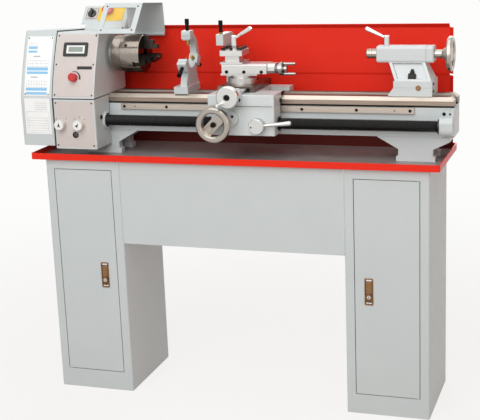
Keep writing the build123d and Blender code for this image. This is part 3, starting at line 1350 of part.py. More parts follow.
cross_bore = rod(CROSS_SHAFT_AXIS, -2 * SCREW_PLATE_T, 0, CROSS_SHAFT_R + RUN_FIT)
cross_way = dovetail(facing(SPINDLE_Y + SADDLE_BACK), CROSS_X, SADDLE_TOP_Z, DOVETAIL_TOP, DOVETAIL_H, 0)
with BuildPart() as saddle:
    with BuildSketch(across(CARRIAGE_X)):
        with BuildLine():
            Polyline(
                (-SADDLE_FRONT, APRON_TOP_Z),
                (-WAY_HALF - SLIDE_GAP, APRON_TOP_Z),
                (-WAY_HALF - SLIDE_GAP, BED_TOP_Z - WAY_SLOPE + SLIDE_GAP),
                (-WAY_FLAT - SLIDE_GAP, BED_TOP_Z + SLIDE_GAP),
                (WAY_FLAT + SLIDE_GAP, BED_TOP_Z + SLIDE_GAP),
                (WAY_HALF + SLIDE_GAP, BED_TOP_Z - WAY_SLOPE + SLIDE_GAP),
                (WAY_HALF + SLIDE_GAP, BED_TOP_Z - SADDLE_REAR_SKIRT),
                (SADDLE_BACK, BED_TOP_Z - SADDLE_REAR_SKIRT),
                (SADDLE_BACK, SADDLE_TOP_Z),
                (-SADDLE_FRONT, SADDLE_TOP_Z),
                close=True,
            )
        make_face()
    extrude(amount=SADDLE_W)
    fillet(saddle.edges().filter_by(Axis.X).group_by(Axis.Z)[-1], radius=SADDLE_EDGE)
    with BuildSketch(Plane.XY.offset(BED_TOP_Z)):
        with Locations((CARRIAGE_X, SPINDLE_Y)):
            Rectangle(SADDLE_NOTCH_LEFT, SADDLE_NOTCH_D, align=(Align.MIN, Align.CENTER))
        with Locations((CARRIAGE_X + SADDLE_W, SPINDLE_Y)):
            Rectangle(SADDLE_NOTCH_RIGHT, SADDLE_NOTCH_D, align=(Align.MAX, Align.CENTER))
    extrude(amount=SADDLE_TOP, mode=Mode.SUBTRACT)
    extrude(cross_way, amount=SADDLE_BACK + SADDLE_FRONT - SCREW_PLATE_T)
    with BuildSketch(facing(SCREW_PLATE_Y)) as screw_plate:
        with Locations((CROSS_SHAFT_AXIS.position.X, BED_TOP_Z - SCREW_PLATE_DROP)):
            Rectangle(SCREW_PLATE_W, SCREW_PLATE_H, align=(Align.CENTER, Align.MIN))
        fillet(screw_plate.vertices().group_by(Axis.Y)[-1], radius=SCREW_PLATE_T)
    extrude(amount=-SCREW_PLATE_T)
    add(cross_bore, mode=Mode.SUBTRACT)
saddle.part.label = "saddle"
export_step(saddle.part, "parts/saddle.step")

APRON_D = SADDLE_FRONT - WAY_HALF - APRON_CLEAR
apron_screw_hole = rod(SCREW_AXIS, APRON_LEFT_X, APRON_RIGHT_X, BELLOWS_BORE_R)
apron_wheel_bore = rod(APRON_WHEEL_AXIS, -APRON_WALL, APRON_BOSS_T, APRON_SHAFT_R + RUN_FIT)
apron_lever_bore = rod(LEVER_AXIS, -APRON_WALL, 0, LEVER_SHAFT_R + RUN_FIT)
with BuildPart() as apron:
    with BuildSketch(Plane.XY.offset(APRON_TOP_Z - APRON_H)) as apron_plan:
        with Locations((APRON_LEFT_X, SADDLE_FRONT_Y)):
            Rectangle(APRON_W, APRON_D, align=(Align.MIN, Align.MIN))
        fillet(apron_plan.vertices().group_by(Axis.Y)[0], radius=APRON_R)
    extrude(amount=APRON_H)
    with BuildSketch(Plane.XY.offset(APRON_TOP_Z - APRON_H + APRON_WALL)):
        with Locations((APRON_LEFT_X + APRON_WALL, SADDLE_FRONT_Y + APRON_WALL)):
            Rectangle(APRON_W - 2 * APRON_WALL, APRON_D, align=(Align.MIN, Align.MIN))
    extrude(amount=APRON_H - 2 * APRON_WALL, mode=Mode.SUBTRACT)
    with BuildSketch(facing(SADDLE_FRONT_Y)):
        with Locations((APRON_WHEEL_X, APRON_WHEEL_AXIS.position.Z)):
            with Locations(Location((0, 0), APRON_BOSS_TURN)):
                with Locations((APRON_BOSS_RUN / 2, 0)):
                    SlotCenterToCenter(APRON_BOSS_RUN, 2 * APRON_BOSS_R)
    extrude(amount=APRON_BOSS_T)
    for bore in (apron_screw_hole, apron_wheel_bore, apron_lever_bore):
        add(bore, mode=Mode.SUBTRACT)
apron.part.label = "apron"
export_step(apron.part, "parts/apron.step")


def make_spoked_wheel(axis, radius, rim, rim_start, rim_end, hub, spokes, spoke_w, spoke_angle):
    """Handwheel with an eased rim and flat spokes on a turned hub given as its profile."""
    hub_turning = turned(axis, *hub)
    spoke_reach = radius - rim / 2
    level = axis.direction.cross(Vector(0, 0, 1)) * -1
    face = Plane(origin=axis.position, x_dir=level, z_dir=axis.direction)
    with BuildPart() as wheel:
        with BuildSketch(turning_plane(axis)):
            with Locations(((rim_start + rim_end) / 2, radius - rim / 2)):
                rim_section = Rectangle(rim_end - rim_start, rim)
            chamfer(rim_section.vertices(), length=RIM_EDGE)
        revolve(axis=axis)
        with BuildSketch(face.offset(rim_start + RIM_EDGE)):
            with PolarLocations(spoke_reach / 2, spokes, start_angle=spoke_angle):
                Rectangle(spoke_reach, spoke_w)
        extrude(amount=SPOKE_T)
        add(hub_turning)
    return wheel.part


APRON_RIM_END = APRON_WHEEL_OUT - SADDLE_FRONT
APRON_RIM_START = APRON_RIM_END - APRON_WHEEL_T
APRON_HUB_END = APRON_RIM_START + RIM_EDGE + SPOKE_T
apron_wheel = make_spoked_wheel(
    APRON_WHEEL_AXIS,
    APRON_WHEEL_R,
    APRON_WHEEL_RIM,
    APRON_RIM_START,
    APRON_RIM_END,
    (
        (-APRON_SHAFT_IN, 0),
        (APRON_HUB_END, 0),
        (APRON_HUB_END, APRON_HUB_R),
        (APRON_BOSS_T + SLIDE_GAP, APRON_HUB_R),
        (APRON_BOSS_T + SLIDE_GAP, APRON_SHAFT_R),
        (-APRON_SHAFT_IN, APRON_SHAFT_R),
    ),
    APRON_SPOKES,
    APRON_BAR_W,
    APRON_BAR_TURN,
)
with BuildPart() as apron_handwheel:
    add(apron_wheel)
apron_handwheel.part.label = "apron_handwheel"
export_step(apron_handwheel.part, "parts/apron_handwheel.step")


def taper_bar(axis, start, end, root_r, tip_r):
    """Round bar that thickens along an axis to an eased tip."""
    tip_edge = tip_r / 2
    return turned(
        axis,
        (start, 0),
        (end, 0),
        (end, tip_r - tip_edge),
        (end - tip_edge, tip_r),
        (start, root_r),
    )


LEVER_MID_Y = SADDLE_FRONT_Y - SLIDE_GAP - LEVER_HUB_T / 2
LEVER_ROD_AXIS = Axis(
    (LEVER_AXIS.position.X, LEVER_MID_Y, LEVER_AXIS.position.Z), (LEVER_ROD_L, 0, LEVER_RISE)
)
lever_hub = turned(
    LEVER_AXIS,
    (-LEVER_SHAFT_IN, 0),
    (SLIDE_GAP + LEVER_HUB_T, 0),
    (SLIDE_GAP + LEVER_HUB_T, LEVER_HUB_R - LEVER_HUB_EDGE),
    (SLIDE_GAP + LEVER_HUB_T - LEVER_HUB_EDGE, LEVER_HUB_R),
    (SLIDE_GAP, LEVER_HUB_R),
    (SLIDE_GAP, LEVER_SHAFT_R),
    (-LEVER_SHAFT_IN, LEVER_SHAFT_R),
)
lever_arm = taper_bar(LEVER_ROD_AXIS, 0, LEVER_ROD_L, LEVER_ROD_R, LEVER_END_R)
with BuildPart() as feed_lever:
    add(lever_hub)
    add(lever_arm)
feed_lever.part.label = "feed_lever"
export_step(feed_lever.part, "parts/feed_lever.step")

CROSS_BOTTOM_Z = SADDLE_TOP_Z + SLIDE_GAP
CROSS_TOP_Z = CROSS_BOTTOM_Z + CROSS_T
SWIVEL_AXIS = Axis((CROSS_X, SPINDLE_Y + SWIVEL_Y, 0), (0, 0, 1))
cross_groove = dovetail(
    facing(SPINDLE_Y + CROSS_BACK), CROSS_X, SADDLE_TOP_Z, DOVETAIL_TOP, DOVETAIL_H + SLIDE_GAP, SLIDE_GAP
)
swivel_socket = rod(SWIVEL_AXIS, CROSS_BOTTOM_Z, CROSS_TOP_Z, SWIVEL_PIN_R + RUN_FIT)
with BuildPart() as cross_slide:
    with BuildSketch(Plane.XY.offset(CROSS_BOTTOM_Z)):
        with Locations((CARRIAGE_X + CROSS_LEFT, SPINDLE_Y - CROSS_FRONT)):
            Rectangle(CROSS_W, CROSS_FRONT + CROSS_BACK, align=(Align.MIN, Align.MIN))
    extrude(amount=CROSS_T)
    extrude(cross_groove, amount=CROSS_FRONT + CROSS_BACK, mode=Mode.SUBTRACT)
    with BuildSketch(facing(SPINDLE_Y + CROSS_BACK)):
        with Locations((CROSS_X, CROSS_TOP_Z)):
            with GridLocations(TSLOT_PITCH, 0, 2, 1):
                Rectangle(TSLOT_W, TSLOT_D, align=(Align.CENTER, Align.MAX))
        with Locations((CROSS_X, CROSS_TOP_Z - TSLOT_D)):
            with GridLocations(TSLOT_PITCH, 0, 2, 1):
                Rectangle(TSLOT_FOOT_W, TSLOT_FOOT, align=(Align.CENTER, Align.MIN))
    extrude(amount=TSLOT_LENGTH, mode=Mode.SUBTRACT)
    add(swivel_socket, mode=Mode.SUBTRACT)
cross_slide.part.label = "cross_slide"
export_step(cross_slide.part, "parts/cross_slide.step")

cross_wheel = turned(
    CROSS_SHAFT_AXIS,
    (-SCREW_PLATE_T, 0),
    (CROSS_WHEEL_OUT - CROSS_HOLE, 0),
    (CROSS_WHEEL_OUT - CROSS_HOLE, CROSS_HOLE_R),
    (CROSS_WHEEL_OUT, CROSS_HOLE_R),
    (CROSS_WHEEL_OUT, CROSS_WHEEL_R - WHEEL_EDGE),
    (CROSS_WHEEL_OUT - WHEEL_EDGE, CROSS_WHEEL_R),
    (CROSS_WHEEL_OUT - CROSS_WHEEL_T, CROSS_WHEEL_R),
    (CROSS_WHEEL_OUT - CROSS_WHEEL_T, CROSS_DIAL_R),
    (SLIDE_GAP, CROSS_DIAL_R),
    (SLIDE_GAP, CROSS_SHAFT_R),
    (-SCREW_PLATE_T, CROSS_SHAFT_R),
)
CROSS_CRANK_X = CROSS_SHAFT_AXIS.position.X + CROSS_CRANK_AT * cos(radians(CROSS_CRANK_TURN))
CROSS_CRANK_Z = CROSS_SHAFT_Z + CROSS_CRANK_AT * sin(radians(CROSS_CRANK_TURN))
CROSS_CRANK_AXIS = Axis((CROSS_CRANK_X, SCREW_PLATE_Y, CROSS_CRANK_Z), (0, -1, 0))
CROSS_CRANK_END = CROSS_WHEEL_OUT + CROSS_CRANK_L
cross_crank = taper_bar(
    CROSS_CRANK_AXIS, CROSS_WHEEL_OUT - CROSS_HOLE, CROSS_CRANK_END, CROSS_CRANK_R, CROSS_CRANK_END_R
)
with BuildPart() as cross_handwheel:
    add(cross_wheel)
    add(cross_crank)
cross_handwheel.part.label = "cross_handwheel"
export_step(cross_handwheel.part, "parts/cross_handwheel.step")

# Compound slide on its swivel, with the tool post and its lever
SWIVEL_Z = CROSS_TOP_Z + SLIDE_GAP
TOP_PLATE_Z = SWIVEL_Z + SWIVEL_T + SWIVEL_NECK_T
TOP_WAY_Z = TOP_PLATE_Z + TOP_PLATE_T
COMPOUND_Z = TOP_WAY_Z + SLIDE_GAP
COMPOUND_TOP_Z = COMPOUND_Z + COMPOUND_T
COMPOUND_LEFT_X = CROSS_X - COMPOUND_LEFT
COMPOUND_RIGHT_X = COMPOUND_LEFT_X + COMPOUND_L
TOP_PLATE_X = CROSS_X - TOP_PLATE_LEFT
COMPOUND_AXIS = Axis((COMPOUND_RIGHT_X, SPINDLE_Y + SWIVEL_Y, COMPOUND_TOP_Z - DIAL_DROP), (1, 0, 0))
POST_AXIS = Axis((CROSS_X - STUD_BACK, SPINDLE_Y + SWIVEL_Y, 0), (0, 0, 1))
swivel_turning = turned(
    SWIVEL_AXIS,
    (SWIVEL_Z - SWIVEL_PIN_L, 0),
    (TOP_PLATE_Z, 0),
    (TOP_PLATE_Z, SWIVEL_NECK_R),
    (SWIVEL_Z + SWIVEL_T, SWIVEL_NECK_R),
    (SWIVEL_Z + SWIVEL_T, SWIVEL_R),
    (SWIVEL_Z, SWIVEL_R),
    (SWIVEL_Z, SWIVEL_PIN_R),
    (SWIVEL_Z - SWIVEL_PIN_L, SWIVEL_PIN_R),
)
top_way = dovetail(across(TOP_PLATE_X), SWIVEL_Y, TOP_WAY_Z, TOP_DOVETAIL, TOP_DOVETAIL_H, 0)
with BuildPart() as swivel_base:
    add(swivel_turning)
    with BuildSketch(Plane.XY.offset(TOP_PLATE_Z)):
        with Locations((TOP_PLATE_X, SPINDLE_Y + SWIVEL_Y)):
            Rectangle(TOP_PLATE_L, TOP_PLATE_W, align=(Align.MIN, Align.CENTER))
    extrude(amount=TOP_PLATE_T)
    extrude(top_way, amount=TOP_DOVETAIL_L)
swivel_base.part.label = "swivel_base"
export_step(swivel_base.part, "parts/swivel_base.step")

top_groove = dovetail(
    across(COMPOUND_LEFT_X), SWIVEL_Y, TOP_WAY_Z, TOP_DOVETAIL, TOP_DOVETAIL_H + SLIDE_GAP, SLIDE_GAP
)
handle_bore = rod(COMPOUND_AXIS, -COMPOUND_END, END_BLOCK_L, HANDLE_SHAFT_R + RUN_FIT)
stud = rod(POST_AXIS, COMPOUND_TOP_Z - STUD_IN, COMPOUND_TOP_Z + STUD_H, STUD_R)
with BuildPart() as compound_slide:
    with BuildSketch(Plane.XY.offset(COMPOUND_Z)):
        with Locations((COMPOUND_LEFT_X, SPINDLE_Y + SWIVEL_Y)):
            Rectangle(COMPOUND_L, COMPOUND_W, align=(Align.MIN, Align.CENTER))
    extrude(amount=COMPOUND_T)
    fillet(compound_slide.edges().filter_by(Axis.X).group_by(Axis.Z)[-1], radius=SADDLE_EDGE)
    extrude(top_groove, amount=COMPOUND_L - COMPOUND_END, mode=Mode.SUBTRACT)
    with BuildSketch(facing(SPINDLE_Y + SWIVEL_Y - COMPOUND_W / 2)):
        with Locations((COMPOUND_LEFT_X + COMPOUND_L / 2, COMPOUND_Z + TOP_DOVETAIL_H / 2)):
            with GridLocations(GIB_PITCH, 0, GIB_HOLES, 1):
                Circle(GIB_HOLE_R)
    extrude(amount=-(COMPOUND_W - TOP_DOVETAIL) / 2, mode=Mode.SUBTRACT)
    with BuildSketch(across(COMPOUND_RIGHT_X)) as end_block:
        with Locations((SWIVEL_Y, COMPOUND_Z)):
            Rectangle(END_BLOCK_W, COMPOUND_T, align=(Align.CENTER, Align.MIN))
        chamfer(end_block.vertices(), length=END_BLOCK_R)
    extrude(amount=END_BLOCK_L)
    add(handle_bore, mode=Mode.SUBTRACT)
    add(stud)
compound_slide.part.label = "compound_slide"
export_step(compound_slide.part, "parts/compound_slide.step")

DIAL_START = END_BLOCK_L + SLIDE_GAP
DIAL_END = DIAL_START + DIAL_COLLAR_L + DIAL_T
HANDLE_HUB_END = DIAL_END + 2 * CROSSBAR_SET
handle_turning = turned(
    COMPOUND_AXIS,
    (-HANDLE_SHAFT_IN, 0),
    (HANDLE_HUB_END, 0),
    (HANDLE_HUB_END, DIAL_HUB_R),
    (DIAL_END, DIAL_HUB_R),
    (DIAL_END, DIAL_R - DIAL_EDGE),
    (DIAL_END - DIAL_EDGE, DIAL_R),
    (DIAL_END - DIAL_T, DIAL_R),
    (DIAL_END - DIAL_T, DIAL_COLLAR_R),
    (DIAL_START, DIAL_COLLAR_R),
    (DIAL_START, HANDLE_SHAFT_R),
    (-HANDLE_SHAFT_IN, HANDLE_SHAFT_R),
)
CROSSBAR_X = COMPOUND_RIGHT_X + DIAL_END + CROSSBAR_SET
CROSSBAR_AXIS = Axis((CROSSBAR_X, COMPOUND_AXIS.position.Y, COMPOUND_AXIS.position.Z), (0, 0, 1))
crossbar = rod(CROSSBAR_AXIS, -CROSSBAR_L / 2, CROSSBAR_L / 2, CROSSBAR_R)
crossbar_grips = [
    rod(
        Axis(CROSSBAR_AXIS.position + CROSSBAR_AXIS.direction * (end * CROSSBAR_L / 2), (1, 0, 0)),
        -GRIP_R,
        CROSSBAR_TIP,
        GRIP_R,
    )
    for end in (-1, 1)
]
with BuildPart() as compound_handle:
    add(handle_turning)
    add(crossbar)
    for grip in crossbar_grips:
        add(grip)
compound_handle.part.label = "compound_handle"
export_step(compound_handle.part, "parts/compound_handle.step")

POST_Z = COMPOUND_TOP_Z + SLIDE_GAP
POST_H = POST_PLATE_T + POST_NECK_H + POST_TOP_T
post_bore = rod(POST_AXIS, POST_Z, POST_Z + POST_H, STUD_R + POST_BORE_FIT)
with BuildPart() as tool_post:
    with BuildSketch(Plane.XY.offset(POST_Z)):
        with Locations((POST_AXIS.position.X, POST_AXIS.position.Y)):
            RectangleRounded(POST_W, POST_W, SADDLE_EDGE)
    extrude(amount=POST_H)
    with BuildSketch(Plane.XY.offset(POST_Z + POST_PLATE_T)):
        with Locations((POST_AXIS.position.X, POST_AXIS.position.Y)):
            Rectangle(POST_W, POST_W)
            Rectangle(POST_NECK_W, POST_NECK_W, mode=Mode.SUBTRACT)
    extrude(amount=POST_NECK_H, mode=Mode.SUBTRACT)
    add(post_bore, mode=Mode.SUBTRACT)
tool_post.part.label = "tool_post"
export_step(tool_post.part, "parts/tool_post.step")


def make_clamp_lever(pivot, hub, arm_start, arm_run, arm_r):
    """Lever with a turned hub and a sloping arm that thickens to its tip, in the X-Z plane of its pivot."""
    arm_axis = Axis(arm_start, (arm_run[0], 0, arm_run[1]))
    arm_length = sqrt(arm_run[0] ** 2 + arm_run[1] ** 2)
    hub_turning = turned(pivot, *hub)
    arm = taper_bar(arm_axis, 0, arm_length, arm_r, LEVER_TIP_R)
    with BuildPart() as lever:
        add(hub_turning)
        add(arm)
    return lever.part


POST_HUB_Z = POST_Z + POST_H + SLIDE_GAP
POST_HUB_TOP_Z = POST_HUB_Z + POST_HUB_H
STUD_TOP_Z = COMPOUND_TOP_Z + STUD_H
post_lever_shape = make_clamp_lever(
    POST_AXIS,
    (
        (STUD_TOP_Z + SLIDE_GAP, 0),
        (POST_HUB_TOP_Z, 0),
        (POST_HUB_TOP_Z, POST_HUB_R - SADDLE_EDGE),
        (POST_HUB_TOP_Z - SADDLE_EDGE, POST_HUB_R),
        (POST_HUB_Z, POST_HUB_R),
        (POST_HUB_Z, STUD_R + POST_BORE_FIT),
        (STUD_TOP_Z + SLIDE_GAP, STUD_R + POST_BORE_FIT),
    ),
    (POST_AXIS.position.X, POST_AXIS.position.Y, POST_HUB_TOP_Z - POST_HUB_R),
    (POST_LEVER_DX, POST_LEVER_DZ),
    POST_LEVER_R,
)
with BuildPart() as tool_post_lever:
    add(post_lever_shape)
tool_post_lever.part.label = "tool_post_lever"
export_step(tool_post_lever.part, "parts/tool_post_lever.step")

# Follow rest on the saddle and steady rest on the bed, each with screw fingers
FOLLOW_LEFT_X = CARRIAGE_X - FOLLOW_OVERHANG
FOLLOW_MID_X = FOLLOW_LEFT_X + FOLLOW_W / 2
FOLLOW_TOP_Z = POST_Z + POST_H + FOLLOW_CLEAR + FOLLOW_BLOCK_H
FOLLOW_TOP = FOLLOW_TOP_Z - SPINDLE_Z
FOLLOW_BACK = FOLLOW_ARM_BACK + FOLLOW_ARM_T
STEADY_X = HEAD_RIGHT_X + STEADY_AT


def finger_axis(x, angle):
    """Axis of a rest's finger, pointing out from the spindle line at an angle from the rear."""
    return Axis((x, SPINDLE_Y, SPINDLE_Z), (0, cos(radians(angle)), sin(radians(angle))))


def round_point(radius, angle):
    """Point on a plane across the bed, at a radius and angle about the spindle line."""
    return radius * cos(radians(angle)), SPINDLE_Z + radius * sin(radians(angle))


def make_finger(axis, tip, knob):
    """Screw finger with a slim tip towards the work and a knob at its outer end."""
    return turned(
        axis,
        (tip, 0),
        (tip, FINGER_TIP_R),
        (tip + FINGER_TIP_L, FINGER_TIP_R),
        (tip + FINGER_TIP_L, FINGER_R),
        (knob, FINGER_R),
        (knob, FINGER_KNOB_R),
        (knob + FINGER_KNOB_L, FINGER_KNOB_R),
        (knob + FINGER_KNOB_L, 0),
    )


FOLLOW_TOP_AXIS = finger_axis(FOLLOW_MID_X, 90)
FOLLOW_REAR_AXIS = finger_axis(FOLLOW_MID_X, 0)
FOLLOW_AXES = (FOLLOW_TOP_AXIS, FOLLOW_REAR_AXIS)
follow_bores = [rod(axis, 0, 2 * FOLLOW_BACK, FINGER_R + RUN_FIT) for axis in FOLLOW_AXES]
with BuildPart() as follow_rest:
    with BuildSketch(across(FOLLOW_LEFT_X)) as follow_face:
        with BuildLine():
            Polyline(
                (FOLLOW_ARM_BACK, SADDLE_TOP_Z),
                (FOLLOW_BACK, SADDLE_TOP_Z),
                (FOLLOW_BACK, FOLLOW_TOP_Z),
                (-FOLLOW_BLOCK_FRONT, FOLLOW_TOP_Z),
                (-FOLLOW_BLOCK_FRONT, FOLLOW_TOP_Z - FOLLOW_BLOCK_H),
                (FOLLOW_ARM_BACK, FOLLOW_TOP_Z - FOLLOW_BLOCK_H),
                close=True,
            )
        make_face()
        fillet(follow_face.vertices().group_by(Axis.X)[1].sort_by(Axis.Y)[-1], radius=FOLLOW_CORNER_R)
        fillet(follow_face.vertices().group_by(Axis.X)[-1].sort_by(Axis.Y)[-1], radius=FOLLOW_CORNER_R)
    extrude(amount=FOLLOW_W)
    for bore in follow_bores:
        add(bore, mode=Mode.SUBTRACT)
follow_rest.part.label = "follow_rest"
export_step(follow_rest.part, "parts/follow_rest.step")

fingers = {
    "follow_finger_top": make_finger(FOLLOW_TOP_AXIS, FOLLOW_TOP_TIP, FOLLOW_TOP + FOLLOW_KNOB_LIFT),
    "follow_finger_rear": make_finger(FOLLOW_REAR_AXIS, FOLLOW_REAR_TIP, FOLLOW_BACK + FINGER_KNOB_L),
}
for finger_number, angle in enumerate(STEADY_FINGERS, start=1):
    fingers[f"steady_finger_{finger_number}"] = make_finger(
        finger_axis(STEADY_X, angle), STEADY_TIP_AT, STEADY_KNOB_AT
    )
for finger_name, finger in fingers.items():
    finger.label = finger_name
    export_step(finger, f"parts/{finger_name}.step")

STEADY_BASE_Z = BED_TOP_Z + SLIDE_GAP
STEADY_LEFT_X = STEADY_X - STEADY_T / 2
STEADY_AXES = [finger_axis(STEADY_X, angle) for angle in STEADY_FINGERS]
steady_bores = [rod(axis, 0, 2 * STEADY_R, FINGER_R + RUN_FIT) for axis in STEADY_AXES]
with BuildPart() as steady_frame:
    with BuildSketch(across(STEADY_LEFT_X)):
        with BuildLine():
            Polyline(
                (-STEADY_BASE_HALF, STEADY_BASE_Z),
                (-STEADY_BASE_HALF, STEADY_BASE_Z + STEADY_BASE_H),
                (-STEADY_NECK_HALF, SPINDLE_Z - STEADY_BORE_R),
                (STEADY_NECK_HALF, SPINDLE_Z - STEADY_BORE_R),
                (STEADY_BASE_HALF, STEADY_BASE_Z + STEADY_BASE_H),
                (STEADY_BASE_HALF, STEADY_BASE_Z),
                close=True,
            )
        make_face()
        with Locations((0, SPINDLE_Z)):
            Circle(STEADY_R)
            Circle(STEADY_BORE_R, mode=Mode.SUBTRACT)
        with BuildLine():
            Polyline(
                (0, SPINDLE_Z),
                round_point(2 * STEADY_R, STEADY_OPEN_FROM),
                (-2 * STEADY_R, SPINDLE_Z + 2 * STEADY_R),
                round_point(2 * STEADY_R, STEADY_OPEN_TO),
                close=True,
            )
        make_face(mode=Mode.SUBTRACT)
    extrude(amount=STEADY_T)
    with BuildSketch(across(STEADY_X - STEADY_BOSS_T / 2)):
        for angle in STEADY_FINGERS:
            with Locations(round_point((STEADY_BORE_R + STEADY_BOSS_R) / 2, angle)):
                RectangleRounded(
                    STEADY_BOSS_R - STEADY_BORE_R, STEADY_BOSS_W, STEADY_BOSS_EDGE, rotation=angle
                )
    extrude(amount=STEADY_BOSS_T)
    with BuildSketch(across(STEADY_X - STEADY_BASE_LEFT)):
        with Locations((0, STEADY_BASE_Z)):
            Rectangle(2 * STEADY_BASE_HALF, STEADY_BASE_H, align=(Align.CENTER, Align.MIN))
            Rectangle(2 * (SLOT_HALF - SLIDE_GAP), TONGUE_H, align=(Align.CENTER, Align.MAX))
    extrude(amount=STEADY_BASE_LEFT + STEADY_BASE_RIGHT)
    for bore in steady_bores:
        add(bore, mode=Mode.SUBTRACT)
steady_frame.part.label = "steady_frame"
export_step(steady_frame.part, "parts/steady_frame.step")

# Tailstock: base on the ways, leaning body with the quill barrel, handwheel and clamp lever
TAIL_RIGHT_X = BED_RIGHT_X - TAIL_AT
TAIL_LEFT_X = TAIL_RIGHT_X - TAIL_BASE_L
TAIL_BASE_Z = BED_TOP_Z + SLIDE_GAP
TAIL_SEAT_Z = TAIL_BASE_Z + TAIL_BASE_H
TAIL_NECK_Z = TAIL_SEAT_Z + TAIL_SEAT_H
TAIL_SEAT_X = TAIL_RIGHT_X - TAIL_SEAT_L
BARREL_LEFT_X = TAIL_RIGHT_X - BARREL_L
QUILL_TIP_X = BARREL_LEFT_X - QUILL_PROUD
BARREL_TOP_Z = SPINDLE_Z + BARREL_HALF
with BuildPart() as tailstock_base:
    with BuildSketch(facing(SPINDLE_Y + TAIL_BASE_HALF)):
        with BuildLine():
            Polyline(
                (TAIL_LEFT_X, TAIL_BASE_Z),
                (TAIL_LEFT_X, TAIL_BASE_Z + TAIL_TOE_H),
                (TAIL_SEAT_X, TAIL_SEAT_Z),
                (TAIL_RIGHT_X, TAIL_SEAT_Z),
                (TAIL_RIGHT_X, TAIL_BASE_Z),
                close=True,
            )
        make_face()
    extrude(amount=2 * TAIL_BASE_HALF)
    chamfer(tailstock_base.faces().sort_by(Axis.Z)[-1].edges(), length=TAIL_SEAT_EDGE)
    with BuildSketch(across(TAIL_LEFT_X)):
        with Locations((0, TAIL_BASE_Z)):
            Rectangle(2 * (SLOT_HALF - SLIDE_GAP), TONGUE_H, align=(Align.CENTER, Align.MAX))
    extrude(amount=TAIL_BASE_L)
tailstock_base.part.label = "tailstock_base"
export_step(tailstock_base.part, "parts/tailstock_base.step")

quill_bore = rod(SPINDLE_AXIS, BARREL_LEFT_X, TAIL_RIGHT_X - BARREL_END, QUILL_R + RUN_FIT)
tail_shaft_bore = rod(SPINDLE_AXIS, TAIL_RIGHT_X - BARREL_END, TAIL_RIGHT_X, TAIL_SHAFT_R + RUN_FIT)
QUILL_LEVER_AXIS = Axis((BARREL_LEFT_X + QUILL_LEVER_AT, SPINDLE_Y, 0), (0, 0, 1))
QUILL_PIN_Z = BARREL_TOP_Z - QUILL_PIN_IN
quill_pin_bore = rod(QUILL_LEVER_AXIS, QUILL_PIN_Z - SLIDE_GAP, BARREL_TOP_Z, QUILL_PIN_R + RUN_FIT)


def neck_middle(z):
    """Middle of the leaning neck along the bed at a height, and its half depth there."""
    share = (z - TAIL_NECK_Z) / (SPINDLE_Z - TAIL_NECK_Z)
    middle = TAIL_SEAT_X + TAIL_NECK_AT + TAIL_NECK_L / 2 - share * TAIL_NECK_LEAN
    half = TAIL_NECK_FOOT_HALF + share * (TAIL_NECK_TOP_HALF - TAIL_NECK_FOOT_HALF)
    return middle, half


def make_neck():
    """Neck of the tailstock, leaning towards the chuck and narrowing up to the barrel."""
    with BuildPart() as neck:
        for z in (TAIL_NECK_Z, SPINDLE_Z):
            middle, half = neck_middle(z)
            with BuildSketch(Plane.XY.offset(z)):
                with Locations((middle, SPINDLE_Y)):
                    Rectangle(TAIL_NECK_L, 2 * half)
        loft()
    return neck.part


def make_neck_pocket():
    """Recess in the neck's front face, inside a rim of even width."""
    with BuildPart() as pocket:
        for z in (TAIL_NECK_Z + TAIL_POCKET_FOOT, SPINDLE_Z - BARREL_HALF):
            middle, half = neck_middle(z)
            with BuildSketch(Plane.XY.offset(z)):
                with Locations((middle, SPINDLE_Y - half)):
                    Rectangle(TAIL_NECK_L - 2 * TAIL_RIM, 2 * TAIL_POCKET)
        loft()
    return pocket.part


neck = make_neck()
neck_pocket = make_neck_pocket()
with BuildPart() as tailstock_body:
    with BuildSketch(across(BARREL_LEFT_X)):
        with Locations((0, SPINDLE_Z)):
            RectangleRounded(2 * BARREL_HALF, 2 * BARREL_HALF, BARREL_R)
    extrude(amount=BARREL_L)
    for end_face in (tailstock_body.faces().sort_by(Axis.X)[0], tailstock_body.faces().sort_by(Axis.X)[-1]):
        chamfer(end_face.edges(), length=BARREL_EDGE)
    with BuildSketch(across(TAIL_RIGHT_X - BARREL_CAP)):
        with Locations((0, SPINDLE_Z)):
            Rectangle(2 * BARREL_HALF + BARREL_SEAM, 2 * BARREL_HALF + BARREL_SEAM)
            RectangleRounded(
                2 * (BARREL_HALF - BARREL_SEAM_D),
                2 * (BARREL_HALF - BARREL_SEAM_D),
                BARREL_R - BARREL_SEAM_D,
                mode=Mode.SUBTRACT,
            )
    extrude(amount=BARREL_SEAM, mode=Mode.SUBTRACT)
    with BuildSketch(Plane.XY.offset(TAIL_SEAT_Z)):
        with Locations((TAIL_SEAT_X, SPINDLE_Y)):
            Rectangle(TAIL_SEAT_L, 2 * TAIL_BASE_HALF, align=(Align.MIN, Align.CENTER))
    extrude(amount=TAIL_SEAT_H)
    add(neck)
    add(neck_pocket, mode=Mode.SUBTRACT)
    for bore in (quill_bore, tail_shaft_bore, quill_pin_bore):
        add(bore, mode=Mode.SUBTRACT)
tailstock_body.part.label = "tailstock_body"
export_step(tailstock_body.part, "parts/tailstock_body.step")

quill_turning = turned(
    SPINDLE_AXIS,
    (QUILL_TIP_X, QUILL_BORE_R),
    (QUILL_TIP_X, QUILL_R - QUILL_CHAMFER),
    (QUILL_TIP_X + QUILL_CHAMFER, QUILL_R),
    (QUILL_TIP_X + QUILL_L, QUILL_R),
    (QUILL_TIP_X + QUILL_L, 0),
    (QUILL_TIP_X + QUILL_BORE_DEPTH, 0),
    (QUILL_TIP_X + QUILL_BORE_DEPTH, QUILL_BORE_R),
)
with BuildPart() as quill:
    add(quill_turning)
quill.part.label = "quill"
export_step(quill.part, "parts/quill.step")

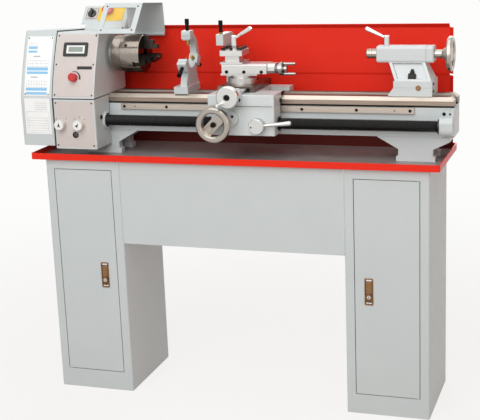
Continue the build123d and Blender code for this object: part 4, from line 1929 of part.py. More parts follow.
TAIL_WHEEL_AXIS = Axis((TAIL_RIGHT_X, SPINDLE_Y, SPINDLE_Z), (1, 0, 0))
TAIL_HUB_END = TAIL_SLEEVE_L + RIM_EDGE + SPOKE_T
tail_wheel = make_spoked_wheel(
    TAIL_WHEEL_AXIS,
    TAIL_WHEEL_R,
    TAIL_WHEEL_RIM,
    TAIL_SLEEVE_L,
    TAIL_SLEEVE_L + TAIL_WHEEL_T,
    (
        (-BARREL_END + SLIDE_GAP, 0),
        (TAIL_HUB_END, 0),
        (TAIL_HUB_END, TAIL_HUB_R),
        (TAIL_SLEEVE_L, TAIL_HUB_R),
        (TAIL_FLARE_AT, TAIL_SLEEVE_R),
        (SLIDE_GAP, TAIL_SLEEVE_R),
        (SLIDE_GAP, TAIL_SHAFT_R),
        (-BARREL_END + SLIDE_GAP, TAIL_SHAFT_R),
    ),
    TAIL_SPOKES,
    TAIL_SPOKE_W,
    TAIL_SPOKE_TURN,
)
with BuildPart() as tailstock_handwheel:
    add(tail_wheel)
tailstock_handwheel.part.label = "tailstock_handwheel"
export_step(tailstock_handwheel.part, "parts/tailstock_handwheel.step")

QUILL_HUB_Z = BARREL_TOP_Z + SLIDE_GAP
QUILL_HUB_TOP_Z = QUILL_HUB_Z + QUILL_HUB_H
quill_lever_shape = make_clamp_lever(
    QUILL_LEVER_AXIS,
    (
        (BARREL_TOP_Z - QUILL_PIN_IN, 0),
        (QUILL_HUB_TOP_Z, 0),
        (QUILL_HUB_TOP_Z, QUILL_HUB_R - SADDLE_EDGE),
        (QUILL_HUB_TOP_Z - SADDLE_EDGE, QUILL_HUB_R),
        (QUILL_HUB_Z, QUILL_HUB_R),
        (QUILL_HUB_Z, QUILL_PIN_R),
        (BARREL_TOP_Z - QUILL_PIN_IN, QUILL_PIN_R),
    ),
    (QUILL_LEVER_AXIS.position.X, QUILL_LEVER_AXIS.position.Y, QUILL_HUB_TOP_Z - QUILL_HUB_R),
    (-QUILL_LEVER_DX, QUILL_LEVER_DZ),
    QUILL_LEVER_R,
)
with BuildPart() as quill_lever:
    add(quill_lever_shape)
quill_lever.part.label = "quill_lever"
export_step(quill_lever.part, "parts/quill_lever.step")
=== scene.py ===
"""Bench lathe on its stand: finishes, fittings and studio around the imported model.

Lengths in this file are millimetres in the machine's frame, with +X towards the tailstock, -Y
towards the operator and +Z up. Meshes and node patterns are in metres.
"""
from __future__ import annotations

import json
import logging
import math
from collections.abc import Callable, Iterable, Sequence
from dataclasses import dataclass, field
from enum import Enum
from typing import Any

import bmesh
import bpy
import numpy as np
from mathutils import Matrix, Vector
from numpy.typing import NDArray


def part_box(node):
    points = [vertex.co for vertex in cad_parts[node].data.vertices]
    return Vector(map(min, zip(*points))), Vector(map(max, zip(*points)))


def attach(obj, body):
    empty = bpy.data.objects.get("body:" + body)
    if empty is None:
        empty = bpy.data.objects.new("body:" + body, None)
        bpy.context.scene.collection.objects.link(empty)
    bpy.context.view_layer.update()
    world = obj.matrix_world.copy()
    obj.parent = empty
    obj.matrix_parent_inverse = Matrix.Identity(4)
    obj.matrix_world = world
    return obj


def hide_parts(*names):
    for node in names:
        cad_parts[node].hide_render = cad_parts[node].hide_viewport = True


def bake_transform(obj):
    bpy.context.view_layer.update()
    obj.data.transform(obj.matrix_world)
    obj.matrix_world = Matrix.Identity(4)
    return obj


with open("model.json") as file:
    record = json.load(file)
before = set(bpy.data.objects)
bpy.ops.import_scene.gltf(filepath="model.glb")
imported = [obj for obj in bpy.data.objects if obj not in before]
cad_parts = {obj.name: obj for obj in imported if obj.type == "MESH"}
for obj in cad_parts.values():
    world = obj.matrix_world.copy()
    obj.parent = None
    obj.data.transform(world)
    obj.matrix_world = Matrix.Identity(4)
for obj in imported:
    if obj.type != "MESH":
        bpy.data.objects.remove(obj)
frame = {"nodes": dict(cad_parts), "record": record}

Array = NDArray[np.float64]
Point = Sequence[float] | Array
Pair = tuple[float, float]
Triple = tuple[float, float, float]
Box = tuple[float, float, float, float]
# Width, height, corner radius, thickness, and the chamfer round the face
Slab = tuple[float, float, float, float, float]
Place = Callable[[Array, Array, Array], Array]
Tree = bpy.types.NodeTree
Socket = bpy.types.NodeSocket
Inputs = dict[str | int, Any]

log = logging.getLogger("lathe")
MM = 0.001


class Side(Enum):
    """Side of the machine, as the names of its bodies say it."""

    LEFT = "left"
    RIGHT = "right"


def span(node: str) -> tuple[Array, Array, Array]:
    """Lowest corner, middle and highest corner of a node of the model, in millimetres."""
    low, high = (np.round(np.array(corner) / MM, 1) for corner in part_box(node))
    return low, (low + high) / 2, high


# Datum lines of the machine, read from its own castings
HEAD_LOW, HEAD_MID, HEAD_HIGH = span("headstock")
COVER_MID = span("end_cover")[1]
BED_LOW, BED_MID, BED_HIGH = span("bed")
FRONT_Y = HEAD_LOW[1]
SPINDLE_Y = BED_MID[1]
BED_TOP_Z = BED_HIGH[2]
CENTRE_HEIGHT = 125.0
SPINDLE_Z = BED_TOP_Z + CENTRE_HEIGHT
HEAD_TOP_Z = HEAD_HIGH[2]
TRAY_FLOOR_Z = BED_LOW[2]
# Foot, middle and top of the headstock's bowed front: Y and height
BOW = ((FRONT_Y, BED_TOP_Z), (FRONT_Y + 30.0, SPINDLE_Z - 23.0), (FRONT_Y + 75.0, HEAD_TOP_Z))
RIGHT, FORWARD, UP = (1.0, 0.0, 0.0), (0.0, -1.0, 0.0), (0.0, 0.0, 1.0)
BOTH_WAYS = (-1.0, 1.0)
# A screw or disc starts this far inside its seat, so that no gap shows under it
SUNK = -0.2


def linear(code: str) -> Box:
    """Turns an sRGB hex colour into linear values.

    Args:
        code: Colour written as RRGGBB.

    Returns:
        Red, green and blue in linear light, and 1.
    """
    shown = np.array([int(code[at:at + 2], 16) for at in (0, 2, 4)]) / 255.0
    light = np.where(shown <= 0.04045, shown / 12.92, ((shown + 0.055) / 1.055) ** 2.4)
    return (*light.tolist(), 1.0)


def fill(tree: Tree, made: bpy.types.Node, inputs: Inputs) -> None:
    """Sets a node's sockets to values, or links them.

    Args:
        tree: Node tree that the node is in.
        made: The node.
        inputs: Socket name or number against a value, or against the output that feeds it.
    """
    for key, value in inputs.items():
        if isinstance(value, Socket):
            tree.links.new(value, made.inputs[key])
        else:
            made.inputs[key].default_value = value


def add(
    tree: Tree, kind: str, inputs: Inputs | None = None, out: str | int = 0, **settings: Any
) -> Socket | None:
    """Adds one shader node with its settings and links.

    Args:
        tree: Node tree that takes it.
        kind: Blender's name of the node type, without its prefix.
        inputs: What its sockets get, as in fill.
        out: Name or number of the output that is wanted.
        settings: Attributes of the node.

    Returns:
        That output, or nothing where the node has none.
    """
    made = tree.nodes.new("ShaderNode" + kind)
    for key, value in settings.items():
        setattr(made, key, value)
    fill(tree, made, inputs or {})
    return made.outputs[out] if made.outputs else None


def cleared(owner: bpy.types.Material | bpy.types.World) -> Tree:
    """Empties the node tree of a new material or world.

    Args:
        owner: The material or the world.

    Returns:
        Its node tree.
    """
    owner.use_nodes = True
    owner.node_tree.nodes.clear()
    return owner.node_tree


def unit(vector: Point) -> Array:
    """The vector at length 1."""
    run = np.asarray(vector, float)
    return run / np.linalg.norm(run)


def square_to(direction: Point) -> tuple[Array, Array, Array]:
    """Right-handed directions whose third one is the given direction.

    Args:
        direction: Any vector that isn't zero.

    Returns:
        Two directions across it and the direction itself, each of length 1.
    """
    along = unit(direction)
    helper = UP if abs(along[2]) < 0.9 else (0.0, 1.0, 0.0)
    first = unit(np.cross(helper, along))
    return first, np.cross(along, first), along


def polygon_swell(sides: int, segments: int) -> Array:
    """Factor that makes a circle a regular polygon: 1 at its corners, cos(half side angle) at its flats."""
    angle = np.mod(np.linspace(0.0, 2.0 * np.pi, segments, endpoint=False), 2.0 * np.pi / sides)
    return np.cos(np.pi / sides) / np.cos(angle - np.pi / sides)


def rounded(width: float, height: float, radius: float, per_corner: int = 6) -> Array:
    """Outline of a rounded rectangle: a quarter circle round each corner's centre, anticlockwise.

    Args:
        width: Full width.
        height: Full height.
        radius: Radius of the corners.
        per_corner: Points to a corner.

    Returns:
        Array of points by two.
    """
    turn = np.linspace(0.0, np.pi / 2, per_corner)[None, :] + (np.arange(4) * np.pi / 2)[:, None]
    side = np.array([[1, 1], [-1, 1], [-1, -1], [1, -1]]) * (np.array([width, height]) / 2 - radius)
    arc = np.stack([np.cos(turn), np.sin(turn)], axis=-1) * radius
    return (side[:, None, :] + arc).reshape(-1, 2)


def dense(outline: Array, step: float = 4.0) -> Array:
    """The closed outline with points evenly between its corners, which are kept.

    Args:
        outline: Array of points by two.
        step: Furthest that two points may be apart.

    Returns:
        The longer array of points by two.
    """
    closed = np.concatenate([outline, outline[:1]])
    length = np.concatenate([[0.0], np.cumsum(np.linalg.norm(np.diff(closed, axis=0), axis=1))])
    even = np.linspace(0.0, length[-1], int(length[-1] / step) + 2)
    spot = np.unique(np.round(np.concatenate([length, even]), 3))[:-1]
    return np.stack([np.interp(spot, length, closed[:, side]) for side in (0, 1)], axis=1)


def spun(outline: Array, degrees: float) -> Array:
    """The outline turned anticlockwise about its origin."""
    turn = math.radians(degrees)
    return outline @ np.array([[math.cos(turn), math.sin(turn)], [-math.sin(turn), math.cos(turn)]])


def disc(radius: float, thickness: float, edge: float) -> list[Pair]:
    """Profile of a closed disc with an eased rim, sunk a little into its seat."""
    face = [(thickness - edge, radius), (thickness, radius - edge), (thickness, 0.0)]
    return [(SUNK, 0.0), (SUNK, radius), *face]


def flat_place(origin: Point, right: Point = RIGHT, up: Point = UP) -> Place:
    """Places a drawing on a plane.

    Args:
        origin: Where the drawing's origin is.
        right: Direction across the drawing.
        up: Direction up it, square to right.

    Returns:
        Function from width, height and depth along the normal to the machine's frame.
    """
    start, across, rise = np.asarray(origin, float), unit(right), unit(up)
    out = np.cross(across, rise)
    return lambda u, v, d: start + u[..., None] * across + v[..., None] * rise + d[..., None] * out


def arc_place(x: float, z: float, out_top: float = 0.0) -> Place:
    """Places a drawing on the bowed front of the headstock or of its end cover.

    The front is the arc through the three points of BOW. A point goes to its own height on the arc
    and out along the arc's radius.

    Args:
        x: Machine X of the drawing's origin.
        z: Height of the drawing's origin.
        out_top: How much higher the arc's upper end is than the headstock's.

    Returns:
        Function from width, height and depth along the radius to the machine's frame.
    """
    bow = np.array(BOW)
    bow[2, 1] += out_top
    foot, others = bow[0], bow[1:]
    mid_y, mid_z = np.linalg.solve(others - foot, (np.square(others) - np.square(foot)).sum(axis=1) / 2)
    reach = math.hypot(foot[0] - mid_y, foot[1] - mid_z)

    def place(u: Array, v: Array, d: Array) -> Array:
        """Takes width, height and depth in the drawing to the machine's frame."""
        level, out = z + v - mid_z, 1.0 + d / reach
        return np.stack(
            [x + u + 0.0 * level, mid_y - np.sqrt(reach**2 - level**2) * out, mid_z + level * out], axis=-1
        )

    return place


def stand_on(place: Place, across: float, rise: float, out: float = 0.0) -> tuple[Array, Array]:
    """Point of a carrier's drawing and the direction that stands out from it there."""
    spot, tip = (place(*np.array([[across], [rise], [depth]]))[0] for depth in (out, out + 1.0))
    return spot, tip - spot


# Points closer than this are one point
WELD = 0.004


@dataclass
class Surface:
    """Points in millimetres and quads of one piece, gathered patch by patch."""

    points: list[Array] = field(default_factory=list)
    quads: list[Array] = field(default_factory=list)
    flat: list[Array] = field(default_factory=list)
    count: int = 0

    def patch(self, grid: Array, flat: Array | None = None, around: bool = True) -> Surface:
        """Adds a grid of points, each cell of which is one quad.

        Args:
            grid: Array of rows by columns by three.
            flat: Rows by columns by two, the drawing's own coordinates in millimetres.
            around: Joins the last column to the first.

        Returns:
            This surface, so that calls can follow one another.
        """
        rows, columns = grid.shape[:2]
        row = np.arange(rows - 1)[:, None] * columns
        column = np.arange(columns if around else columns - 1)[None, :]
        after = (column + 1) % columns
        corners = (row + column, row + after, row + columns + after, row + columns + column)
        self.quads.append(np.stack(corners, axis=-1).reshape(-1, 4) + self.count)
        self.points.append(grid.reshape(-1, 3))
        self.flat.append(np.zeros((rows * columns, 2)) if flat is None else flat.reshape(-1, 2))
        self.count += rows * columns
        return self

    def turn(
        self,
        profile: Sequence[Pair] | Array,
        origin: Point,
        axis: Point = FORWARD,
        segments: int = 40,
        swell: Array | float = 1.0,
    ) -> Surface:
        """Adds a turned form: each profile point (distance, radius) goes once round the axis.

        Args:
            profile: Distance along the axis and radius, from one end to the other.
            origin: Point on the axis at distance 0.
            axis: Its direction.
            segments: Points to a turn.
            swell: Factor on the radius for each profile point and angle, for flats.

        Returns:
            This surface.
        """
        run = np.asarray(profile, float)
        angle = np.linspace(0.0, 2.0 * np.pi, segments, endpoint=False)
        first, second, along = square_to(axis)
        ring = np.cos(angle)[:, None] * first + np.sin(angle)[:, None] * second
        radius = run[:, 1][:, None] * np.ones((1, segments)) * swell
        middle = np.asarray(origin, float) + run[:, 0][:, None, None] * along
        return self.patch(middle + radius[:, :, None] * ring[None])

    def slab(self, size: Slab, place: Place, at: Pair = (0.0, 0.0), per_corner: int = 6) -> Surface:
        """Adds a rounded plate, as plate does."""
        *outline, thick, edge = size
        return self.plate(rounded(*outline, per_corner), place, thick, edge, at=at)

    def plate(
        self, outline: Array, place: Place, thick: float, edge: float, rings: int = 6, at: Pair = (0.0, 0.0)
    ) -> Surface:
        """Adds a closed plate: rings of its outline shrink to the middle of the back and of the face.

        Args:
            outline: Closed line round the plate's middle.
            place: Function that puts it on its carrier.
            thick: Distance from the back to the face.
            edge: Chamfer round the face.
            rings: Rings from the rim to the middle, so that the plate can follow a bowed carrier.
            at: Where the middle is in the carrier's drawing.

        Returns:
            This surface.
        """
        shrink = np.linspace(1.0, 0.0, rings)[:, None] * np.ones((1, 2))
        face = shrink * (1.0 - edge / np.abs(outline).max(axis=0))
        scale = np.concatenate([shrink[::-1], np.ones((1, 2)), face])
        depth = np.concatenate([np.zeros(rings), [thick - edge], np.full(rings, thick)])
        spot = outline[None] * scale[:, None] + np.asarray(at)
        return self.patch(place(spot[..., 0], spot[..., 1], depth[:, None] + 0.0 * spot[..., 0]), spot)

    def rim(
        self, outer: Array, inner: Array, place: Place, thick: float, edge: float, at: Pair = (0.0, 0.0)
    ) -> Surface:
        """Adds a closed plate with an opening: its section goes round the opening as one loop.

        Args:
            outer: Closed outer line.
            inner: Closed line of the opening, with as many points, each facing its outer one.
            place: Function that puts it on its carrier.
            thick: Distance from the back to the face.
            edge: Chamfer round both rims of the face.
            at: Where the drawing's origin is in the carrier's drawing.

        Returns:
            This surface.
        """
        low = thick - edge
        share = np.array([0.0, 0.0, 0.0, 0.33, 0.67, 1.0, 1.0, 1.0, 0.67, 0.33, 0.0])
        depth = np.array([0.0, low, thick, thick, thick, thick, low, 0.0, 0.0, 0.0, 0.0])
        nudge = np.array([0.0, 0.0, edge, 0.0, 0.0, -edge, 0.0, 0.0, 0.0, 0.0, 0.0])
        run = inner - outer
        inward = run / np.maximum(np.linalg.norm(run, axis=1), 1e-6)[:, None]
        spot = outer + share[:, None, None] * run + nudge[:, None, None] * inward + np.asarray(at)
        return self.patch(place(spot[..., 0], spot[..., 1], depth[:, None] + 0.0 * spot[..., 0]), spot)

    def screws(self, spots: Iterable[Point], head: float, height: float, axis: Point = FORWARD) -> Surface:
        """Adds socket-head screws: turned heads whose middle drops into a hexagonal recess.

        Args:
            spots: Where the heads meet their seat.
            head: Radius of a head.
            height: Height of a head.
            axis: Direction that the heads stand out in.

        Returns:
            This surface.
        """
        segments = 24
        key, dome, sink = 0.52 * head, 0.14 * head, 0.6 * height
        rim = [(SUNK, 0.0), (SUNK, head), (height - dome, head), (height, head - dome), (height, 1.12 * key)]
        recess = [(height, key), (height - sink, key), (height - sink, 0.0)]
        swell = np.ones((len(rim) + len(recess), segments))
        swell[len(rim):] = polygon_swell(6, segments)
        for spot in spots:
            self.turn(rim + recess, spot, axis, segments, swell)
        return self

    def piece(
        self, name: str, finish: Finish, body: str, slot: str | None = None, sharp: float = 32.0
    ) -> None:
        """Makes the gathered patches one object that rides on a body.

        Args:
            name: Name of the piece.
            finish: Its finish.
            body: Body of the model that carries it.
            slot: Material slot of the record; not used.
            sharp: Edges that turn by more than this many degrees stay sharp.
        """
        made = self.mesh(name, finish, sharp)
        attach(made, body)

    def mesh(self, name: str, finish: Finish, sharp: float) -> bpy.types.Object:
        """Welds the patches, turns their faces outwards and gives them the finish.

        Args:
            name: Name of the object.
            finish: Its finish.
            sharp: Edges that turn by more than this many degrees stay sharp.

        Returns:
            The object, at the origin, with its place in its mesh.
        """
        data = bpy.data.meshes.new(name)
        data.from_pydata(np.concatenate(self.points) * MM, [], np.concatenate(self.quads).tolist())
        corner = np.zeros(len(data.loops), np.int32)
        data.loops.foreach_get("vertex_index", corner)
        layer = data.uv_layers.new(name="Drawing")
        layer.data.foreach_set("uv", (np.concatenate(self.flat)[corner] * MM).astype(np.float32).ravel())
        work = bmesh.new()
        work.from_mesh(data)
        bmesh.ops.remove_doubles(work, verts=work.verts, dist=WELD * MM)
        bmesh.ops.recalc_face_normals(work, faces=work.faces)
        work.to_mesh(data)
        work.free()
        data.polygons.foreach_set("use_smooth", np.ones(len(data.polygons), bool))
        data.set_sharp_from_angle(angle=math.radians(sharp))
        data.materials.append(finish.make())
        log.info("%s: %d faces in %s", name, len(data.polygons), finish.name)
        return stood(name, data)


def stood(name: str, data: bpy.types.ID, rows: Array | None = None) -> bpy.types.Object:
    """Adds an object to the scene.

    Args:
        name: Its name.
        data: Its mesh, camera or lamp.
        rows: Its matrix, where it isn't at the origin.

    Returns:
        The object.
    """
    made = bpy.data.objects.new(name, data)
    if rows is not None:
        made.matrix_world = Matrix(rows.tolist())
    bpy.context.scene.collection.objects.link(made)
    return made


class Way(Enum):
    """Direction that a metal face was ground or brushed along."""

    LENGTH = (1.0, 0.0, 0.0)
    DEPTH = (0.0, 1.0, 0.0)
    HEIGHT = (0.0, 0.0, 1.0)


# The middle of a noise pattern, where most of its values are, in the sockets of a Map Range node
MIDDLE: Inputs = {1: 0.3, 2: 0.7}
# How a Mix node mixes colours, and where it gives the result
COLOUR: dict[str, Any] = {"out": 2, "data_type": "RGBA"}


@dataclass(frozen=True)
class Finish:
    """Name, colours and gloss of a material. Each kind of finish adds its own pattern.

    The pattern mixes in the shade by at most its share, and swings the roughness down and up. Its
    grain is grain_mm across and stands out by depth_mm. Edges are eased by edge_mm.
    """

    name: str
    colour: str
    shade: str
    rough: float
    metallic: float = 0.0
    ior: float = 1.5
    gloss: float = 0.5
    alpha: float = 1.0
    coat: float = 0.0
    share: float = 0.35
    swing: Pair = (0.05, 0.07)
    grain_mm: float = 1.5
    depth_mm: float = 0.03
    edge_mm: float = 0.6

    def make(self) -> bpy.types.Material:
        """Makes the material the first time that it is asked for, and finds it after that."""
        known = bpy.data.materials.get(self.name)
        return known or self.mixed(bpy.data.materials.new(self.name))

    def mixed(self, made: bpy.types.Material) -> bpy.types.Material:
        """Builds the nodes of a new material.

        Args:
            made: The material, still plain.

        Returns:
            The same material with its shader.
        """
        made.diffuse_color = linear(self.colour)
        tree = cleared(made)
        values: Inputs = {"Base Color": linear(self.colour), "Roughness": self.rough}
        values |= {"Metallic": self.metallic, "Alpha": self.alpha, "Coat Weight": self.coat}
        if not self.metallic:
            values |= {"IOR": self.ior, "Specular IOR Level": self.gloss}
        shader = add(tree, "BsdfPrincipled", values)
        add(tree, "OutputMaterial", {"Surface": shader})
        fill(tree, shader.node, self.pattern(tree))
        return made

    def pattern(self, tree: Tree) -> Inputs:
        """What feeds the shader's sockets; the plain finish feeds none."""
        return {}

    def part(self, tree: Tree, kind: str, output: str, axis: str) -> Socket:
        """One axis of a position or a direction."""
        return add(tree, "SeparateXYZ", {0: add(tree, kind, out=output)}, axis)

    def cloud(self, tree: Tree, size_mm: float, detail: float = 2.0) -> Socket:
        """Cloudy noise on Object coordinates whose clouds are about size_mm across."""
        spot = add(tree, "TexCoord", out="Object")
        return add(tree, "TexNoise", {"Vector": spot, "Scale": 1.0 / (size_mm * MM), "Detail": detail})

    def streak(self, tree: Tree, per_metre: Sequence[float]) -> Socket:
        """Noise on Object coordinates, drawn out by its own number of streaks per metre along each axis."""
        spot = add(tree, "Mapping", {"Vector": add(tree, "TexCoord", out="Object"), "Scale": per_metre})
        return add(tree, "TexNoise", {"Vector": spot, "Scale": 1.0, "Detail": 3.0})

    def polar(self, tree: Tree) -> tuple[Socket, Socket]:
        """Distances along the spindle's line and from it: a dot product, and the length of a cross product.

        Args:
            tree: Node tree of the material.

        Returns:
            Both distances, in metres.
        """
        start = {0: add(tree, "TexCoord", out="Object"), 1: (0.0, SPINDLE_Y * MM, SPINDLE_Z * MM)}
        away = add(tree, "VectorMath", start, operation="SUBTRACT")
        along = add(tree, "VectorMath", {0: away, 1: RIGHT}, "Value", operation="DOT_PRODUCT")
        across = add(tree, "VectorMath", {0: away, 1: RIGHT}, operation="CROSS_PRODUCT")
        return along, add(tree, "VectorMath", {0: across}, "Value", operation="LENGTH")

    def toned(self, tree: Tree, noise: Socket, share: float, first: str, second: str) -> Socket:
        """Colour that goes from first towards second, by a share at most, as a noise pattern rises."""
        part = add(tree, "MapRange", {0: noise, **MIDDLE, 3: 0.0, 4: share})
        return add(tree, "Mix", {0: part, 6: linear(first), 7: linear(second)}, **COLOUR)

    def worn(self, tree: Tree, tone: Socket, sheen: Socket | None, height: Socket | None) -> Inputs:
        """Colour, roughness and normal of a surface that isn't quite even.

        Args:
            tree: Node tree of the material.
            tone: Noise that mixes in the shade.
            sheen: Noise that swings the roughness, if it isn't even.
            height: Noise that raises the surface, over eased edges, if it isn't smooth.

        Returns:
            What feeds the shader's sockets.
        """
        made: Inputs = {"Base Color": self.toned(tree, tone, self.share, self.colour, self.shade)}
        if sheen:
            low, high = self.rough - self.swing[0], self.rough + self.swing[1]
            made["Roughness"] = add(tree, "MapRange", {0: sheen, **MIDDLE, 3: low, 4: high})
        if height:
            inputs: Inputs = {"Height": height, "Distance": self.depth_mm * MM, "Strength": 1.0}
            if self.edge_mm:
                inputs["Normal"] = add(tree, "Bevel", {"Radius": self.edge_mm * MM}, samples=4)
            made["Normal"] = add(tree, "Bump", inputs)
        return made


@dataclass(frozen=True)
class SprayEnamel(Finish):
    """Two-part machine enamel, sprayed: an even colour, soft gloss, orange peel and eased edges.

    Colour drifts over a hand's width and gloss over a finger's. The peel is drawn at twice its size.
    """

    share: float = 0.16
    swing: Pair = (0.04, 0.06)
    grain_mm: float = 3.0
    depth_mm: float = 0.02
    edge_mm: float = 1.2
    hand_mm: float = 140.0
    finger_mm: float = 22.0

    def pattern(self, tree: Tree) -> Inputs:
        """Drift of colour and of gloss, and the peel."""
        hand, finger = self.cloud(tree, self.hand_mm, detail=3.0), self.cloud(tree, self.finger_mm)
        return self.worn(tree, hand, finger, self.cloud(tree, self.grain_mm))


@dataclass(frozen=True)
class LinedTray(SprayEnamel):
    """Enamelled tray whose floor carries a dark bedded coat up to a height. Its rim keeps the enamel."""

    floor: str = "8A8482"
    scuff: str = "A19B99"
    scuff_mm: float = 60.0
    scuff_share: float = 0.6
    floor_top_mm: float = TRAY_FLOOR_Z + 0.5
    upward: float = 0.7

    def pattern(self, tree: Tree) -> Inputs:
        """Lays the coat on faces that look up from below the height.

        Args:
            tree: Node tree of the material.

        Returns:
            What feeds the shader's sockets.
        """
        made = super().pattern(tree)
        height = self.part(tree, "TexCoord", "Object", "Z")
        rise = self.part(tree, "NewGeometry", "True Normal", "Z")
        low = add(tree, "Math", {0: height, 1: self.floor_top_mm * MM}, operation="LESS_THAN")
        level = add(tree, "Math", {0: rise, 1: self.upward}, operation="GREATER_THAN")
        both = add(tree, "Math", {0: low, 1: level}, operation="MULTIPLY")
        cloud = self.cloud(tree, self.scuff_mm, detail=6.0)
        coat = self.toned(tree, cloud, self.scuff_share, self.floor, self.scuff)
        return made | {"Base Color": add(tree, "Mix", {0: both, 6: made["Base Color"], 7: coat}, **COLOUR)}


@dataclass(frozen=True)
class PaintedShadeSheet(SprayEnamel):
    """Enamelled sheet whose front is darkened towards its foot by painted shade: the shadow that the bed
    casts on it.
    """

    # Colour of the painted shade, the bed's shadow on the guard's foot, and the heights where it is whole and
    # where it is gone
    painted_shade: str = "6A2620"
    painted_shade_mm: Pair = (TRAY_FLOOR_Z + 32.0, TRAY_FLOOR_Z + 84.0)
    forward: float = -0.5

    def pattern(self, tree: Tree) -> Inputs:
        """The painted shade is whole up to one height and gone at another, on faces that look forward.

        Args:
            tree: Node tree of the material.

        Returns:
            What feeds the shader's sockets.
        """
        made = super().pattern(tree)
        facing = self.part(tree, "NewGeometry", "True Normal", "Y")
        front = add(tree, "Math", {0: facing, 1: self.forward}, operation="LESS_THAN")
        full, end = (height * MM for height in self.painted_shade_mm)
        inputs = {0: self.part(tree, "TexCoord", "Object", "Z"), 1: full, 2: end, 3: front, 4: 0.0}
        # film is the share of painted shade at each height
        film = add(tree, "MapRange", inputs, interpolation_type="SMOOTHSTEP")
        inputs = {0: film, 6: made["Base Color"], 7: linear(self.painted_shade)}
        return made | {"Base Color": add(tree, "Mix", inputs, **COLOUR)}


@dataclass(frozen=True)
class GroundBed(SprayEnamel):
    """Enamelled casting whose ways are left bare and ground lengthways, over a dark line of painted shade.

    Each band is the height where it starts, its colour and the colour of its streaks. The lowest is
    painted shade, a dark line where the ways overhang the web, and those over it are the same bare iron
    in lit and shaded copies: painted shade and a painted highlight. Streaks are about 91 mm long and
    1.6 mm across, wider than real ones so as to show.
    """

    bands: tuple[tuple[float, str, str], ...] = ()
    bare_rough: Pair = (0.36, 0.52)
    streaks: Triple = (11.0, 620.0, 620.0)
    streak_share: float = 0.8

    def pattern(self, tree: Tree) -> Inputs:
        """Lays the painted shade and the iron's lit and shaded copies over the enamel, from the lowest up.

        Args:
            tree: Node tree of the material.

        Returns:
            What feeds the shader's sockets.
        """
        made = super().pattern(tree)
        height = self.part(tree, "TexCoord", "Object", "Z")
        streak = self.streak(tree, self.streaks)
        masks = []
        # Each mask lays a band over what is below it: the lowest is painted shade, the others are lit and
        # shaded copies of the iron
        for start, main, shade in self.bands:
            masks.append(add(tree, "Math", {0: height, 1: start * MM}, operation="GREATER_THAN"))
            iron = self.toned(tree, streak, self.streak_share, main, shade)
            made["Base Color"] = add(tree, "Mix", {0: masks[-1], 6: made["Base Color"], 7: iron}, **COLOUR)
        sheen = add(tree, "MapRange", {0: streak, **MIDDLE, 3: self.bare_rough[0], 4: self.bare_rough[1]})
        made["Roughness"] = add(tree, "Mix", {0: masks[0], 2: made["Roughness"], 3: sheen})
        return made | {"Metallic": masks[1]}


@dataclass(frozen=True)
class TippedFinger(Finish):
    """Support finger of a rest: a brass foot near the work and a blacked screw behind it."""

    metallic: float = 1.0
    share: float = 0.5
    swing: Pair = (0.05, 0.08)
    grain_mm: float = 9.0
    tip: str = "B08A4E"
    tip_shade: str = "7E6138"
    tip_share: float = 0.8
    tip_to_mm: float = 68.0

    def pattern(self, tree: Tree) -> Inputs:
        """Distance from the spindle's line tells the foot from the screw.

        Args:
            tree: Node tree of the material.

        Returns:
            What feeds the shader's sockets.
        """
        cloud = self.cloud(tree, self.grain_mm, detail=4.0)
        made = self.worn(tree, cloud, cloud, None)
        brass = self.toned(tree, cloud, self.tip_share, self.tip, self.tip_shade)
        screw = add(tree, "Math", {0: self.polar(tree)[1], 1: self.tip_to_mm * MM}, operation="GREATER_THAN")
        return made | {"Base Color": add(tree, "Mix", {0: screw, 6: brass, 7: made["Base Color"]}, **COLOUR)}


@dataclass(frozen=True)
class GroundMetal(Finish):
    """Metal ground along one direction: a bright grey with straight streaks, drawn wider so as to show."""

    metallic: float = 1.0
    share: float = 0.7
    swing: Pair = (0.06, 0.1)
    grain_mm: float = 1.6
    depth_mm: float = 0.008
    way: Way = Way.LENGTH
    streak_mm: float = 90.0

    def pattern(self, tree: Tree) -> Inputs:
        """Streaks are streak_mm long along the grinding and grain_mm across it.

        Args:
            tree: Node tree of the material.

        Returns:
            What feeds the shader's sockets.
        """
        along = np.asarray(self.way.value)
        per_metre = along / (self.streak_mm * MM) + (1.0 - along) / (self.grain_mm * MM)
        streak = self.streak(tree, per_metre.tolist())
        return self.worn(tree, streak, streak, streak)


@dataclass(frozen=True)
class TurnedMetal(Finish):
    """Metal turned on a lathe: rings round the spindle's line, and another face past a place along it.

    Rings are drawn wider than a tool's feed, so as to show.
    """

    metallic: float = 1.0
    share: float = 0.6
    swing: Pair = (0.05, 0.08)
    grain_mm: float = 1.8
    depth_mm: float = 0.006
    edge_mm: float = 0.8
    face: str = "2C2724"
    face_from_mm: float = 0.0

    def pattern(self, tree: Tree) -> Inputs:
        """The pattern runs on distance along the axis plus distance from it, so it rings every face.

        Args:
            tree: Node tree of the material.

        Returns:
            What feeds the shader's sockets.
        """
        along, radius = self.polar(tree)
        run = add(tree, "Math", {0: along, 1: radius}, operation="ADD")
        inputs = {"W": run, "Scale": 1.0 / (self.grain_mm * MM), "Detail": 2.0}
        ring = add(tree, "TexNoise", inputs, noise_dimensions="1D")
        made = self.worn(tree, ring, ring, ring)
        past = add(tree, "Math", {0: along, 1: self.face_from_mm * MM}, operation="GREATER_THAN")
        inputs = {0: past, 6: made["Base Color"], 7: linear(self.face)}
        return made | {"Base Color": add(tree, "Mix", inputs, **COLOUR)}


@dataclass(frozen=True)
class Moulded(Finish):
    """Moulded or cast skin: one colour, a fine grain, and a sheen that varies a little.

    The grain is drawn coarser than a real mould's, so as to show.
    """

    cloud_mm: float = 18.0

    def pattern(self, tree: Tree) -> Inputs:
        """Grain raises the skin, and a broader cloud shifts its colour and sheen."""
        cloud = self.cloud(tree, self.cloud_mm, detail=4.0)
        return self.worn(tree, cloud, cloud, self.cloud(tree, self.grain_mm))


